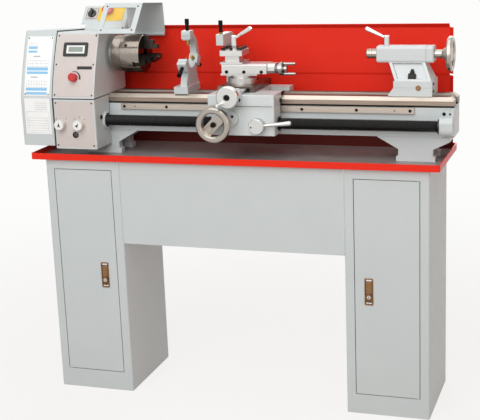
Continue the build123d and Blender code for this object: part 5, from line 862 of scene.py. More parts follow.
@dataclass(frozen=True)
class PrintedSheet(Finish):
    """White lacquered sheet, screen printed with plain bars, ruled lines and empty tables.

    Bars and rules are boxes of middle and size in the sheet's own drawing. A table adds its number
    of columns and rows.
    """

    share: float = 0.2
    grain_mm: float = 2.0
    depth_mm: float = 0.01
    edge_mm: float = 0.0
    cloud_mm: float = 40.0
    bars: tuple[Box, ...] = ()
    rules: tuple[Box, ...] = ()
    tables: tuple[tuple[float, float, float, float, int, int], ...] = ()
    bar_ink: str = "86BFE4"
    rule_ink: str = "A9B0B2"
    rule_mm: float = 0.8

    def pattern(self, tree: Tree) -> Inputs:
        """Lays the tables, the rules and the bars over the white, one after another.

        Args:
            tree: Node tree of the material.

        Returns:
            What feeds the shader's sockets.
        """
        spot = add(tree, "SeparateXYZ", {0: add(tree, "UVMap", uv_map="Drawing")}).node.outputs[:2]
        inked = [(self.ruled(tree, spot, *table), self.rule_ink) for table in self.tables]
        for boxes, ink in ((self.rules, self.rule_ink), (self.bars, self.bar_ink)):
            inked += [(self.inside(tree, spot, box), ink) for box in boxes]
        cloud = self.cloud(tree, self.cloud_mm)
        made = self.worn(tree, cloud, None, self.cloud(tree, self.grain_mm))
        for mask, ink in inked:
            inputs = {0: mask, 6: made["Base Color"], 7: linear(ink)}
            made["Base Color"] = add(tree, "Mix", inputs, **COLOUR)
        return made

    def inside(self, tree: Tree, spot: Sequence[Socket], box: Sequence[float]) -> Socket:
        """Mask of a box: 1 where both coordinates are within half its size and half a rule of its middle.

        Args:
            tree: Node tree of the material.
            spot: Both coordinates of the drawing.
            box: Middle and size.

        Returns:
            The mask.
        """
        near = {}
        for at, run in enumerate(spot):
            limits = {0: run, 1: box[at] * MM, 2: (box[at + 2] + self.rule_mm) / 2 * MM}
            near[at] = add(tree, "Math", limits, operation="COMPARE")
        return add(tree, "Math", near, operation="MULTIPLY")

    def ruled(self, tree: Tree, spot: Sequence[Socket], *table: float) -> Socket:
        """Mask of a table's lines: a zigzag of each coordinate that is low once to a column or row.

        Args:
            tree: Node tree of the material.
            spot: Both coordinates of the drawing.
            table: Middle, size, columns and rows.

        Returns:
            The mask.
        """
        lines = {}
        for at, run in enumerate(spot):
            middle, size, count = table[at::2]
            start = add(tree, "Math", {0: run, 1: (middle - size / 2) * MM}, operation="SUBTRACT")
            wave = add(tree, "Math", {0: start, 1: size / count / 2 * MM}, operation="PINGPONG")
            lines[at] = add(tree, "Math", {0: wave, 1: self.rule_mm / 2 * MM}, operation="LESS_THAN")
        either = add(tree, "Math", lines, operation="MAXIMUM")
        return add(tree, "Math", {0: either, 1: self.inside(tree, spot, table)}, operation="MULTIPLY")


# Finishes of this machine. Colours are matched to the photograph under the studio's light.
# Enamel sprayed on sheet: an even pale grey with soft highlights and a faint peel
GREY = SprayEnamel("sprayed_enamel_grey", "C6CDCD", "B4BCBC", 0.36)
# The same enamel over filled castings: a thicker coat, with a coarser peel and rounder edges, its colour
# lifted a little as painted light
CASTING = SprayEnamel("sprayed_casting_grey", "CED4D4", "BBC3C3", 0.34, grain_mm=4.0, edge_mm=1.8)
# Black enamel on sheet: a flat dark face with one broad, weak highlight
DARK_SHEET = SprayEnamel("sprayed_enamel_black", "2B2C2D", "1E1F20", 0.4)
# Red enamel on sheet: a full colour with little glare, with painted shade darkening its foot where the bed
# shadows it
GUARD = PaintedShadeSheet("sprayed_guard_red", "E8301F", "D42618", 0.33, gloss=0.15)
# The same red round a tray whose floor is a dull, scuffed grey
TRAY = LinedTray("sprayed_tray_red", "E8301F", "D42618", 0.33, gloss=0.15)
# Enamelled casting with ground ways: pale enamel lifted a little as painted light, a dark line of painted
# shade over it, then bare iron in painted lit and shaded copies
BED = GroundBed(
    "sprayed_bed_casting",
    "D4DADA",
    "C2CACA",
    0.34,
    grain_mm=4.0,
    edge_mm=1.8,
    bands=(
        # Painted shade: a dark line where the ways overhang the web
        (BED_TOP_Z - 32.2, "0F0D0D", "1C1918"),
        # Bare iron on the way's face, drawn darker and browner as painted shade
        (BED_TOP_Z - 25.5, "9E8E82", "7A6B60"),
        # The same iron on the slope, drawn light as a painted highlight
        (BED_TOP_Z - 11.0, "C9C0B6", "A89C8F"),
        # The same iron on the top, drawn dark as painted shade
        (BED_TOP_Z - 0.5, "8E837C", "6C625B"),
    ),
)
# Ground steel: straight streaks along the cut and a highlight drawn out across them
STEEL = GroundMetal("ground_steel", "B6B0AA", "867F78", 0.26, way=Way.DEPTH)
# Ground cast iron, browner and darker than steel: a painted reflection of the red guard
SLIDE = GroundMetal("ground_slide_iron", "857A70", "585048", 0.28, way=Way.DEPTH)
# Milled rack steel: a dull silver, streaked lengthways, warmed by a painted warm reflection
RACK = GroundMetal("ground_rack_steel", "BFB3A8", "9F9286", 0.36)
# Hardened steel, dark from the furnace: a low sheen with upright streaks
JAWS = GroundMetal("hardened_jaw_steel", "4A433E", "2A2522", 0.32, way=Way.HEIGHT)
# Satin aluminium: pale and soft, with fine streaks
ALUMINIUM = GroundMetal("satin_aluminium", "D3D3D0", "B3B2AE", 0.32, way=Way.DEPTH, grain_mm=1.2)
# Polished cast iron: bright, with fine streaks and crisp edges
WHEEL = GroundMetal("turned_wheel_iron", "B7B0A8", "8C847B", 0.26, way=Way.DEPTH, grain_mm=1.2)
# Drawn bright steel: a clean mid grey with sharp highlights
BRIGHT = GroundMetal("bright_steel", "77736F", "5A5652", 0.22, grain_mm=1.2)
# Chromed steel: nearly a mirror, which shows the white room
CHROME = GroundMetal("chromed_handle_steel", "9A9692", "827E7A", 0.16, grain_mm=1.2)
# Bronzed steel: a brown metal with a satin sheen
BARREL = GroundMetal("bronzed_lock_barrel", "84664A", "664D36", 0.34, grain_mm=1.2)
# Turned chuck steel: bright rings that flash as they face the lamps, and a darker front face
CHUCK_FACE_X = span("chuck_body")[2][0] - 0.6
CHUCK = TurnedMetal("turned_chuck_steel", "A29990", "6A6159", 0.18, face_from_mm=CHUCK_FACE_X)
# Turned quill steel: broad bands, bright and dark along its length
QUILL = TurnedMetal(
    "turned_quill_steel", "A99F95", "5E554D", 0.2, face="8A8078", face_from_mm=BED_HIGH[0], grain_mm=4.0
)
# Brass foot on a blacked screw: a warm, bright end to a dark stem
FINGER = TippedFinger("brass_tipped_screw", "201E1D", "0C0B0B", 0.36)
# Chemically blacked steel: near black and dull, with a fine tooth
BLACKED = Moulded("blacked_steel", "262423", "151413", 0.38, metallic=1.0, grain_mm=1.0, depth_mm=0.01)
# Bronzed die-cast zinc: a brown metal with a soft sheen
BRONZE = Moulded("bronzed_zinc", "94704E", "73553A", 0.36, metallic=1.0, depth_mm=0.01)
# The same zinc deep in the lock, where it is rough and dark
BRONZE_DARK = Moulded("bronzed_zinc_recess", "6E5039", "573E2B", 0.5, metallic=1.0, depth_mm=0.01)
# Nitrile rubber: a dull black with a slight tooth
RUBBER = Moulded("nitrile_rubber", "191918", "0E0E0E", 0.42, grain_mm=2.0, depth_mm=0.04)
# Coated sleeve cloth: a deep black with a thin line of gloss along each pleat
SLEEVE = Moulded(
    "coated_sleeve_cloth", "0A0A0A", "060606", 0.22, gloss=0.35, grain_mm=2.0, depth_mm=0.02, edge_mm=0.0
)
# Moulded black plastic: black with a soft sheen
PLASTIC = Moulded("moulded_black_plastic", "1B1B1C", "121213", 0.32)
# Moulded red plastic with a clear skin: bright and glossy
RED_PLASTIC = Moulded("moulded_red_plastic", "C4161B", "A30F14", 0.24, coat=0.3)
# Moulded grey plastic: a warm, pale grey with a soft sheen
KNOB_GREY = Moulded("moulded_grey_plastic", "DAD6D1", "C8C3BD", 0.34)
# Moulded white plastic: even, and smoother than the grey
WHITE = Moulded("moulded_white_plastic", "EDEDEA", "E2E2DE", 0.34, depth_mm=0.01)
# Moulded yellow plastic: a strong, even colour with little glare
YELLOW = Moulded("moulded_yellow_plastic", "F1C51E", "E0B012", 0.34, gloss=0.3)
# Polyester film: a smooth cream sheet, slightly satin
FILM = Moulded("cream_polyester_film", "CCC3BF", "C2B9B4", 0.38, grain_mm=1.2, depth_mm=0.01, edge_mm=0.2)
# Acrylic pane: clear, seen by its reflections alone
PANE = Moulded(
    "acrylic_pane", "E6E4DE", "DAD8D2", 0.08, grain_mm=60.0, depth_mm=0.005, edge_mm=0.0, alpha=0.06
)
# Liquid crystal behind clear plastic: a grey green under a clean reflection
SCREEN = Moulded("liquid_crystal_screen", "93A094", "86948A", 0.18, depth_mm=0.004, edge_mm=0.0, coat=0.4)
# Oil behind glass: a deep red brown with a bright spot on its dome
OIL = Moulded("oil_behind_glass", "3E1A12", "2A100B", 0.12, depth_mm=0.004, edge_mm=0.0, coat=0.6)
# Lacquered sheet, screen printed: a clean white with flat pale blue bars and grey lines
TABLE = PrintedSheet(
    "printed_table_sheet",
    "F4F6F5",
    "DADCDA",
    0.32,
    bars=(
        (-24.0, 58.0, 32.0, 7.0),
        (-24.0, 46.0, 32.0, 6.0),
        (-2.0, -8.0, 76.0, 9.0),
        (-2.0, -20.0, 76.0, 7.0),
        (-2.0, -72.0, 76.0, 8.0),
        (-2.0, -85.0, 76.0, 7.0),
    ),
    rules=((-8.0, 31.0, 24.0, 3.0), (-12.0, -34.0, 24.0, 3.0)),
    tables=((-24.0, 70.0, 32.0, 12.0, 4, 2), (-2.0, 9.0, 76.0, 20.0, 8, 2), (-2.0, -56.0, 76.0, 20.0, 8, 2)),
)
# The same sheet with grey lines alone
FORM = PrintedSheet(
    "printed_form_sheet",
    "F4F6F5",
    "DADCDA",
    0.32,
    rules=tuple((14.0, 44.0 - 7.0 * row, 44.0, 0.4) for row in range(4)),
    tables=((0.0, -20.0, 80.0, 70.0, 1, 1), (0.0, -27.0, 70.0, 42.0, 1, 5)),
)

SLOT_FINISH: dict[str, Finish] = {
    "enamel": GREY,
    "dark_plate": DARK_SHEET,
    "ground_steel": STEEL,
    "jaw_steel": JAWS,
    "aluminium": ALUMINIUM,
    "bright_steel": BRIGHT,
    "black_rubber": RUBBER,
    "black_plastic": PLASTIC,
    "red_plastic": RED_PLASTIC,
    "grey_plastic": KNOB_GREY,
    "clear_pane": PANE,
}

# Nodes whose finish differs from that of their slot
NODE_FINISH: dict[str, Finish] = {
    "chip_tray": TRAY,
    "splash_guard": GUARD,
    "bed": BED,
    "chuck_body": CHUCK,
    "quill": QUILL,
    "cross_slide": SLIDE,
    "compound_handle": CHROME,
    "feed_rack": RACK,
    **dict.fromkeys(("left_latch", "right_latch"), BARREL),
    **dict.fromkeys(("apron_handwheel", "tailstock_handwheel"), WHEEL),
    **dict.fromkeys(("headstock", "feed_gearbox", "apron", "saddle"), CASTING),
    **dict.fromkeys(("tailstock_body", "tailstock_base"), CASTING),
    **dict.fromkeys(("follow_finger_top", "follow_finger_rear"), FINGER),
    **dict.fromkeys(("steady_finger_1", "steady_finger_2", "steady_finger_3"), FINGER),
}


def dress_model() -> None:
    """Gives every node of the model the finish of its slot, or one of its own."""
    slot_of = {row["node"]: row["material_slot"] for row in frame["record"]["subparts"]}
    for name, made in frame["nodes"].items():
        finish = NODE_FINISH.get(name) or SLOT_FINISH[slot_of[name]]
        made.data.materials.clear()
        made.data.materials.append(finish.make())
    log.info("dressed %d nodes", len(frame["nodes"]))


@dataclass
class HeadFittings:
    """Control panel of the headstock and front of the feed gearbox.

    Outlines are width, height and corner radius, and sheets are thickness and chamfer. Places are
    across from the middle of the headstock, and a height. A screw is the radius and height of its head.
    A selector is its side, the lean of its arrow and how many positions are marked.
    """

    mid_x: float = HEAD_MID[0]
    film_w: float = 142.0
    flat_w: float = 138.0
    film_corner: float = 3.0
    film_sheet: Pair = (0.35, 0.1)
    bow_z: Pair = (BED_TOP_Z + 5.0, HEAD_TOP_Z - 6.0)
    flat_z: Pair = (842.0, 995.0)
    display_at: Pair = (-1.5, 1155.5)
    bezel: Triple = (87.0, 43.0, 5.0)
    bezel_sheet: Pair = (4.0, 1.2)
    window: Triple = (65.0, 25.0, 1.5)
    surround: Triple = (65.6, 25.6, 1.5)
    surround_sheet: Pair = (2.0, 0.4)
    opening: Triple = (51.0, 15.0, 0.8)
    screen: Slab = (52.0, 16.0, 0.8, 1.2, 0.2)
    keys_at: Pair = (35.5, 1099.0)
    key_strip: Slab = (53.0, 9.6, 1.0, 0.9, 0.2)
    key: Slab = (10.6, 7.2, 1.4, 2.6, 0.9)
    key_pitch: float = 12.8
    knob_at: Pair = (-1.0, 1068.0)
    scale_r: float = 18.5
    scale_wide: Pair = (1.0, 7.0)
    scale_turn: Pair = (112.0, -14.0)
    print_t: float = 0.12
    glass_at: Pair = (1.0, 884.0)
    lens_r: float = 7.6
    screw: Pair = (2.6, 1.4)
    screw_in: float = 5.0
    screw_down: float = 7.0
    screw_z: Triple = (BED_TOP_Z + 11.0, BED_TOP_Z + 106.0, HEAD_TOP_Z - 12.0)
    plug: Pair = (7.5, 2.5)
    plug_at: Pair = (FRONT_Y + 46.0, 936.0)
    collar: Triple = (23.4, 28.0, 7.0)
    collar_edge: float = 1.5
    selectors: tuple[tuple[Side, float, int], ...] = ((Side.LEFT, -6.0, 2), (Side.RIGHT, -38.0, 3))
    knob_face: Triple = (15.0, 0.4, 0.1)
    arrow: tuple[Pair, ...] = ((0.0, 9.0), (-5.2, -7.5), (0.0, -4.0), (5.2, -7.5))
    arrow_sheet: Pair = (0.25, 0.05)
    marks_r: float = 25.0
    marks_turn: float = 45.0
    dot: Triple = (1.6, 0.12, 0.05)

    def build(self) -> None:
        """Makes the films, the display, the keys and the scale, then the smaller fittings."""
        self.films()
        self.display()
        self.keys()
        self.scale()
        self.sight_glass()
        self.screws()
        self.gearbox_side()
        for selector in self.selectors:
            self.selector(*selector)

    def films(self) -> None:
        """Cream films on both fronts: the upper one follows the bow, the lower one is flat."""
        low, high = self.bow_z
        outline = dense(rounded(self.film_w, high - low, self.film_corner))
        bow = arc_place(self.mid_x, (low + high) / 2)
        made = Surface().plate(outline, bow, *self.film_sheet, rings=24)
        made.piece("head_panel_film", FILM, "frame", sharp=50.0)
        low, high = self.flat_z
        face = flat_place((self.mid_x, FRONT_Y, (low + high) / 2))
        made = Surface().slab((self.flat_w, high - low, self.film_corner, *self.film_sheet), face)
        made.piece("gearbox_panel_film", FILM, "frame")

    def display(self) -> None:
        """Black bezel with eased corners, a white surround in it and a grey-green liquid crystal screen."""
        place = arc_place(self.mid_x + self.display_at[0], self.display_at[1])
        made = Surface().rim(rounded(*self.bezel), rounded(*self.window), place, *self.bezel_sheet)
        made.piece("display_bezel", PLASTIC, "frame", "black_plastic")
        made = Surface().rim(rounded(*self.surround), rounded(*self.opening), place, *self.surround_sheet)
        made.piece("display_surround", WHITE, "frame")
        Surface().slab(self.screen, place).piece("display_screen", SCREEN, "frame")

    def keys(self) -> None:
        """Four crowned keys on a thin black strip."""
        place = arc_place(self.mid_x + self.keys_at[0], self.keys_at[1])
        made = Surface().slab(self.key_strip, place)
        for column in (-1.5, -0.5, 0.5, 1.5):
            made.slab(self.key, place, (column * self.key_pitch, 0.0))
        made.piece("panel_keys", PLASTIC, "frame", "black_plastic")

    def scale(self) -> None:
        """Printed wedge round the speed knob: a thin strip along an arc, which widens as the speed rises."""
        place = arc_place(self.mid_x + self.knob_at[0], self.knob_at[1])
        turn = np.radians(np.linspace(*self.scale_turn, 40))
        share = np.array([0.0, 1.0, 1.0, 0.0, 0.0])
        depth = self.film_sheet[0] + self.print_t * np.array([0.0, 0.0, 1.0, 1.0, 0.0])
        reach = self.scale_r + share[:, None] * np.linspace(*self.scale_wide, 40)
        grid = place(reach * np.cos(turn), reach * np.sin(turn), depth[:, None] + 0.0 * reach)
        made = Surface().patch(grid, around=False)
        for cap in (grid[:4, 0], grid[:4, -1]):
            made.patch(np.stack([cap[:2], cap[3:1:-1]]), around=False)
        made.piece("speed_scale", PLASTIC, "frame", "black_plastic")

    def sight_glass(self) -> None:
        """Oil sight glass: a turned ring with a dark lens in it, whose dome is a quarter of an ellipse."""
        spot = (self.mid_x + self.glass_at[0], FRONT_Y, self.glass_at[1])
        low, high, seat = 6.5, 10.5, self.lens_r
        outside = [(SUNK, low), (SUNK, high), (2.2, high), (3.0, 9.6)]
        ring = [*outside, (3.0, 8.0), (1.2, seat), (0.0, low), (SUNK, low)]
        Surface().turn(ring, spot).piece("sight_glass_ring", PLASTIC, "frame")
        turn = np.radians(np.linspace(0.0, 90.0, 8))
        dome = np.stack([0.4 + 1.4 * np.sin(turn), self.lens_r * np.cos(turn)], axis=1)
        Surface().turn(np.concatenate([[(-0.1, 0.0)], dome]), spot).piece("sight_glass_lens", OIL, "frame")

    def screws(self) -> None:
        """Small panel screws at the corners and halfway up."""
        made = Surface()
        bow = arc_place(0.0, 0.0)
        for side in BOTH_WAYS:
            x = self.mid_x + side * (self.film_w / 2 - self.screw_in)
            for z in self.screw_z:
                spot, out = stand_on(bow, x, z, self.film_sheet[0])
                made.screws([spot], *self.screw, out)
            x -= side * (self.film_w - self.flat_w) / 2
            ends = (self.flat_z[0] + self.screw_down, self.flat_z[1] - self.screw_down)
            made.screws([(x, FRONT_Y - self.film_sheet[0], z) for z in ends], *self.screw)
        made.piece("panel_screws", BLACKED, "frame")

    def gearbox_side(self) -> None:
        """Oil plug on the right side of the gearbox, and the cast collar round the leadscrew's end."""
        made = Surface().screws([(HEAD_HIGH[0], *self.plug_at)], *self.plug, RIGHT)
        made.piece("gearbox_plug", BLACKED, "frame")
        low, mid, _ = span("bellows_left")
        (inner, outer, long), edge = self.collar, self.collar_edge
        ends = [(long - edge, outer), (long, outer - edge), (long, inner)]
        ring = [(SUNK, inner), (SUNK, outer), *ends, (SUNK, inner)]
        made = Surface().turn(ring, (low[0], *mid[1:]), RIGHT, segments=48)
        made.piece("leadscrew_collar", CASTING, "frame")

    def selector(self, side: Side, lean: float, marks: int) -> None:
        """White face and black arrow of one selector knob, and the dots over it.

        Args:
            side: The knob's side.
            lean: Angle of the arrow from upright, anticlockwise.
            marks: How many positions are marked.
        """
        body = f"selector_{side.value}"
        low, (mid_x, _, mid_z), _ = span(body)
        made = Surface().turn(disc(*self.knob_face), (mid_x, low[1], mid_z))
        made.piece(f"selector_face_{side.value}", WHITE, body)
        face = flat_place((mid_x, low[1] - self.knob_face[1], mid_z))
        arrow = dense(spun(np.array(self.arrow), lean), step=2.0)
        made = Surface().plate(arrow, face, *self.arrow_sheet)
        made.piece(f"selector_arrow_{side.value}", PLASTIC, body, "black_plastic")
        dots = Surface()
        for angle in np.radians(np.linspace(-self.marks_turn, self.marks_turn, marks)):
            across, rise = self.marks_r * math.sin(angle), self.marks_r * math.cos(angle)
            spot = (mid_x + across, FRONT_Y - self.film_sheet[0], mid_z + rise)
            dots.turn(disc(*self.dot), spot, segments=16)
        dots.piece(f"selector_marks_{side.value}", PLASTIC, "frame", "black_plastic")


@dataclass
class CoverPlates:
    """Two printed plates on the front of the end cover: a plain table above and a blank form below."""

    mid_x: float = COVER_MID[0] + 3.0
    width: float = 92.0
    corner: float = 2.0
    sheet: Pair = (0.6, 0.15)
    upper: Pair = (1010.0, 1196.0)
    lower: Pair = (884.0, 1002.0)
    bow_top: float = 5.0
    screw: Pair = (2.2, 1.2)
    screw_in: Pair = (4.0, 5.0)

    def build(self) -> None:
        """Makes both plates, and the screws at the corners of the upper one."""
        low, high = self.upper
        place = arc_place(self.mid_x, (low + high) / 2, self.bow_top)
        outline = dense(rounded(self.width, high - low, self.corner))
        made = Surface().plate(outline, place, *self.sheet, rings=24)
        made.piece("cover_table_plate", TABLE, "frame", sharp=50.0)
        bow, screws = arc_place(0.0, 0.0, self.bow_top), Surface()
        across, down = self.width / 2 - self.screw_in[0], self.screw_in[1]
        for side in BOTH_WAYS:
            for z in (low + down, high - down):
                spot, out = stand_on(bow, self.mid_x + side * across, z, self.sheet[0])
                screws.screws([spot], *self.screw, out)
        low, high = self.lower
        face = flat_place((self.mid_x, FRONT_Y, (low + high) / 2))
        made = Surface().slab((self.width, high - low, self.corner, *self.sheet), face)
        made.piece("cover_form_plate", FORM, "frame")
        screws.piece("cover_screws", BLACKED, "frame")


@dataclass
class BoxPlates:
    """Plates under the switch and the stop button on the slanted face of the electrical box.

    Outlines are width, height and corner radius, and sheets are thickness and chamfer.
    """

    foot: Pair = (SPINDLE_Y + 98.0, SPINDLE_Z + 66.8)
    head: Pair = (SPINDLE_Y + 160.0, SPINDLE_Z + 140.0)
    switch_at: Pair = (HEAD_LOW[0] + 14.0, 18.0)
    stop_at: Pair = (HEAD_LOW[0] + 76.0, 26.0)
    switch: Triple = (46.0, 46.0, 3.0)
    switch_sheet: Pair = (0.35, 0.1)
    switch_neck: float = 8.0
    border: float = 4.0
    border_inside: float = 0.94
    border_sheet: Pair = (0.5, 0.05)
    stop: Triple = (94.0, 57.0, 5.0)
    stop_sheet: Pair = (1.6, 0.5)
    stop_shift: Pair = (10.0, -9.0)
    stop_neck: float = 12.0
    shroud: Pair = (13.4, 18.5)
    shroud_out: Pair = (1.0, 8.0)
    screw: Pair = (3.0, 1.8)
    screw_at: Pair = (HEAD_HIGH[0] - 7.0, 41.0)

    def place(self, x: float, up: float) -> Place:
        """Drawing on the slanted face, at a place along it and up from the middle of its slope.

        Args:
            x: Machine X of the drawing's origin.
            up: Distance up the slope.

        Returns:
            The placing function.
        """
        foot, head = np.array([x, *self.foot]), np.array([x, *self.head])
        rise = unit(head - foot)
        return flat_place((foot + head) / 2 + up * rise, RIGHT, rise)

    def build(self) -> None:
        """Makes both plates, each open round its control's neck, the stop's shroud and the face screws."""
        outline, place = dense(rounded(*self.switch)), self.place(*self.switch_at)
        neck = self.facing_circle(outline, self.switch_neck)
        made = Surface().rim(outline, neck, place, *self.switch_sheet)
        made.piece("switch_plate", FILM, "frame")
        outline = outline * (1.0 - self.border / self.switch[0])
        made = Surface().rim(outline, outline * self.border_inside, place, *self.border_sheet)
        made.piece("switch_border", PLASTIC, "frame", "black_plastic")
        outline, place = dense(rounded(*self.stop)) + np.asarray(self.stop_shift), self.place(*self.stop_at)
        neck = self.facing_circle(outline, self.stop_neck)
        made = Surface().rim(outline, neck, place, *self.stop_sheet)
        (inner, outer), (foot, top) = self.shroud, self.shroud_out
        lip = [(top - 1.0, outer), (top, outer - 1.0), (top, inner + 0.8), (top - 0.6, inner)]
        made.turn([(foot, inner), (foot, outer), *lip, (foot, inner)], *stand_on(place, 0.0, 0.0))
        made.piece("stop_plate", YELLOW, "frame")
        place, screws = self.place(0.0, 0.0), Surface()
        for side in BOTH_WAYS:
            spot, out = stand_on(place, self.screw_at[0], side * self.screw_at[1])
            screws.screws([spot], *self.screw, out)
        screws.piece("box_screws", BLACKED, "frame")

    def facing_circle(self, outline: Array, radius: float) -> Array:
        """Circle with a point on the ray to each point of an outline."""
        return outline / np.linalg.norm(outline, axis=1)[:, None] * radius


@dataclass
class HoodScrews:
    """Button screws that hold the window to the chuck guard. The dome is a share of the head's radius."""

    out: Triple = (0.0, -89.0, 82.0)
    half: Pair = (53.5, 47.0)
    head: float = 2.9
    dome: float = 0.6
    sunk: float = 0.3
    sheet_out: float = 3.4

    def build(self) -> None:
        """A screw at each corner of the window, on the sheet before the pane; its dome is half an ellipse."""
        normal = unit(self.out)
        middle = span("guard_window")[1] + self.sheet_out * normal
        turn = np.radians(np.linspace(0.0, 90.0, 7))
        dome = np.stack([self.dome * self.head * np.sin(turn), self.head * np.cos(turn)], axis=1)
        profile = np.concatenate([[(-self.sunk, 0.0), (-self.sunk, self.head)], dome])
        across, up = self.half[0] * np.array(RIGHT), self.half[1] * np.cross(normal, RIGHT)
        made = Surface()
        for side in BOTH_WAYS:
            for row in BOTH_WAYS:
                made.turn(profile, middle + side * across + row * up, normal, segments=20)
        made.piece("window_screws", BLACKED, "hood")


@dataclass
class DoorLock:
    """Flush lock plate of a stand door: a bronze bezel, a paddle above and the key's barrel below."""

    side: Side
    barrel_r: float = 11.0
    rise: float = 17.0
    per_corner: int = 8
    bezel: Triple = (28.0, 88.0, 4.0)
    opening: Triple = (22.0, 82.0, 2.5)
    bezel_sheet: Pair = (1.9, 0.5)
    recess: Slab = (23.0, 83.0, 2.5, 0.4, 0.1)
    paddle: Slab = (18.0, 40.0, 3.0, 1.7, 0.6)
    paddle_up: float = 12.0
    top_strip: Slab = (18.0, 5.0, 1.5, 1.4, 0.4)
    low_strip: Slab = (18.0, 4.0, 1.5, 1.4, 0.4)
    strip_up: float = 37.0
    rose: Triple = (6.0, 0.5, 0.2)
    keyhole: Slab = (1.8, 7.8, 0.6, 0.2, 0.05)

    def build(self) -> None:
        """Makes the bezel round its recess, the paddle, the bright strips, and the rose with its keyhole."""
        side = self.side.value
        door, latch = f"{side}_door", f"{side}_latch"
        low, (_, _, mid_z), high = span(latch)
        x = low[0] + self.barrel_r if self.side is Side.LEFT else high[0] - self.barrel_r
        face = flat_place((x, FRONT_Y, mid_z + self.rise))
        outer, inner = (rounded(*outline, self.per_corner) for outline in (self.bezel, self.opening))
        Surface().rim(outer, inner, face, *self.bezel_sheet).piece(f"lock_bezel_{side}", BRONZE, door)
        recess = Surface().slab(self.recess, face, per_corner=self.per_corner)
        recess.piece(f"lock_recess_{side}", BRONZE_DARK, door)
        paddle = Surface().slab(self.paddle, face, (0.0, self.paddle_up), self.per_corner)
        paddle.piece(f"lock_paddle_{side}", BRONZE, door)
        strips = Surface().slab(self.top_strip, face, (0.0, self.strip_up), self.per_corner)
        strips.slab(self.low_strip, face, (0.0, -self.strip_up), self.per_corner)
        strips.piece(f"lock_strips_{side}", BRIGHT, door)
        rose = Surface().turn(disc(*self.rose), (x, low[1], mid_z), segments=24)
        rose.piece(f"lock_rose_{side}", STEEL, latch)
        face = flat_place((x, low[1] - self.rose[1], mid_z))
        keyhole = Surface().slab(self.keyhole, face, per_corner=self.per_corner)
        keyhole.piece(f"lock_keyhole_{side}", PLASTIC, latch)


@dataclass
class Bellows:
    """Pleated cover of the leadscrew, built at one fixed length."""

    side: Side
    bodies: tuple[str, str]
    pitch: float = 5.0
    root: float = 16.2
    crest: float = 18.0
    wall: float = 2.0
    flange: Pair = (23.0, 5.0)
    steps_per_pleat: int = 6
    sharpness: float = 1.6

    def build(self) -> None:
        """A turned form: flange, pleats whose radius swings from root to crest, flange, and back inside."""
        node = f"bellows_{self.side.value}"
        low, (_, axis_y, axis_z), high = span(node)
        run = high[0] - low[0]
        wide, thick = self.flange
        steps = int((run - 2.0 * thick) / self.pitch) * self.steps_per_pleat
        swing = np.abs(np.mod(np.arange(steps + 1) / self.steps_per_pleat, 1.0) - 0.5) * 2.0
        radius = self.crest - (self.crest - self.root) * swing**self.sharpness
        pleats = np.stack([np.linspace(thick, run - thick, steps + 1), radius], axis=1)
        foot = (0.0, self.root - self.wall)
        ends = [foot, (0.0, wide - 1.0), (1.0, wide), (thick - 1.0, wide), (thick, wide - 1.0)]
        mirrored = [(run - at, reach) for at, reach in reversed(ends)]
        profile = np.concatenate([ends, pleats, mirrored, [foot]])
        surface = Surface().turn(profile, (low[0], axis_y, axis_z), RIGHT, segments=24)
        made = surface.mesh(f"bellows_pleats_{self.side.value}", SLEEVE, sharp=40.0)
        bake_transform(made)
        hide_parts(node)


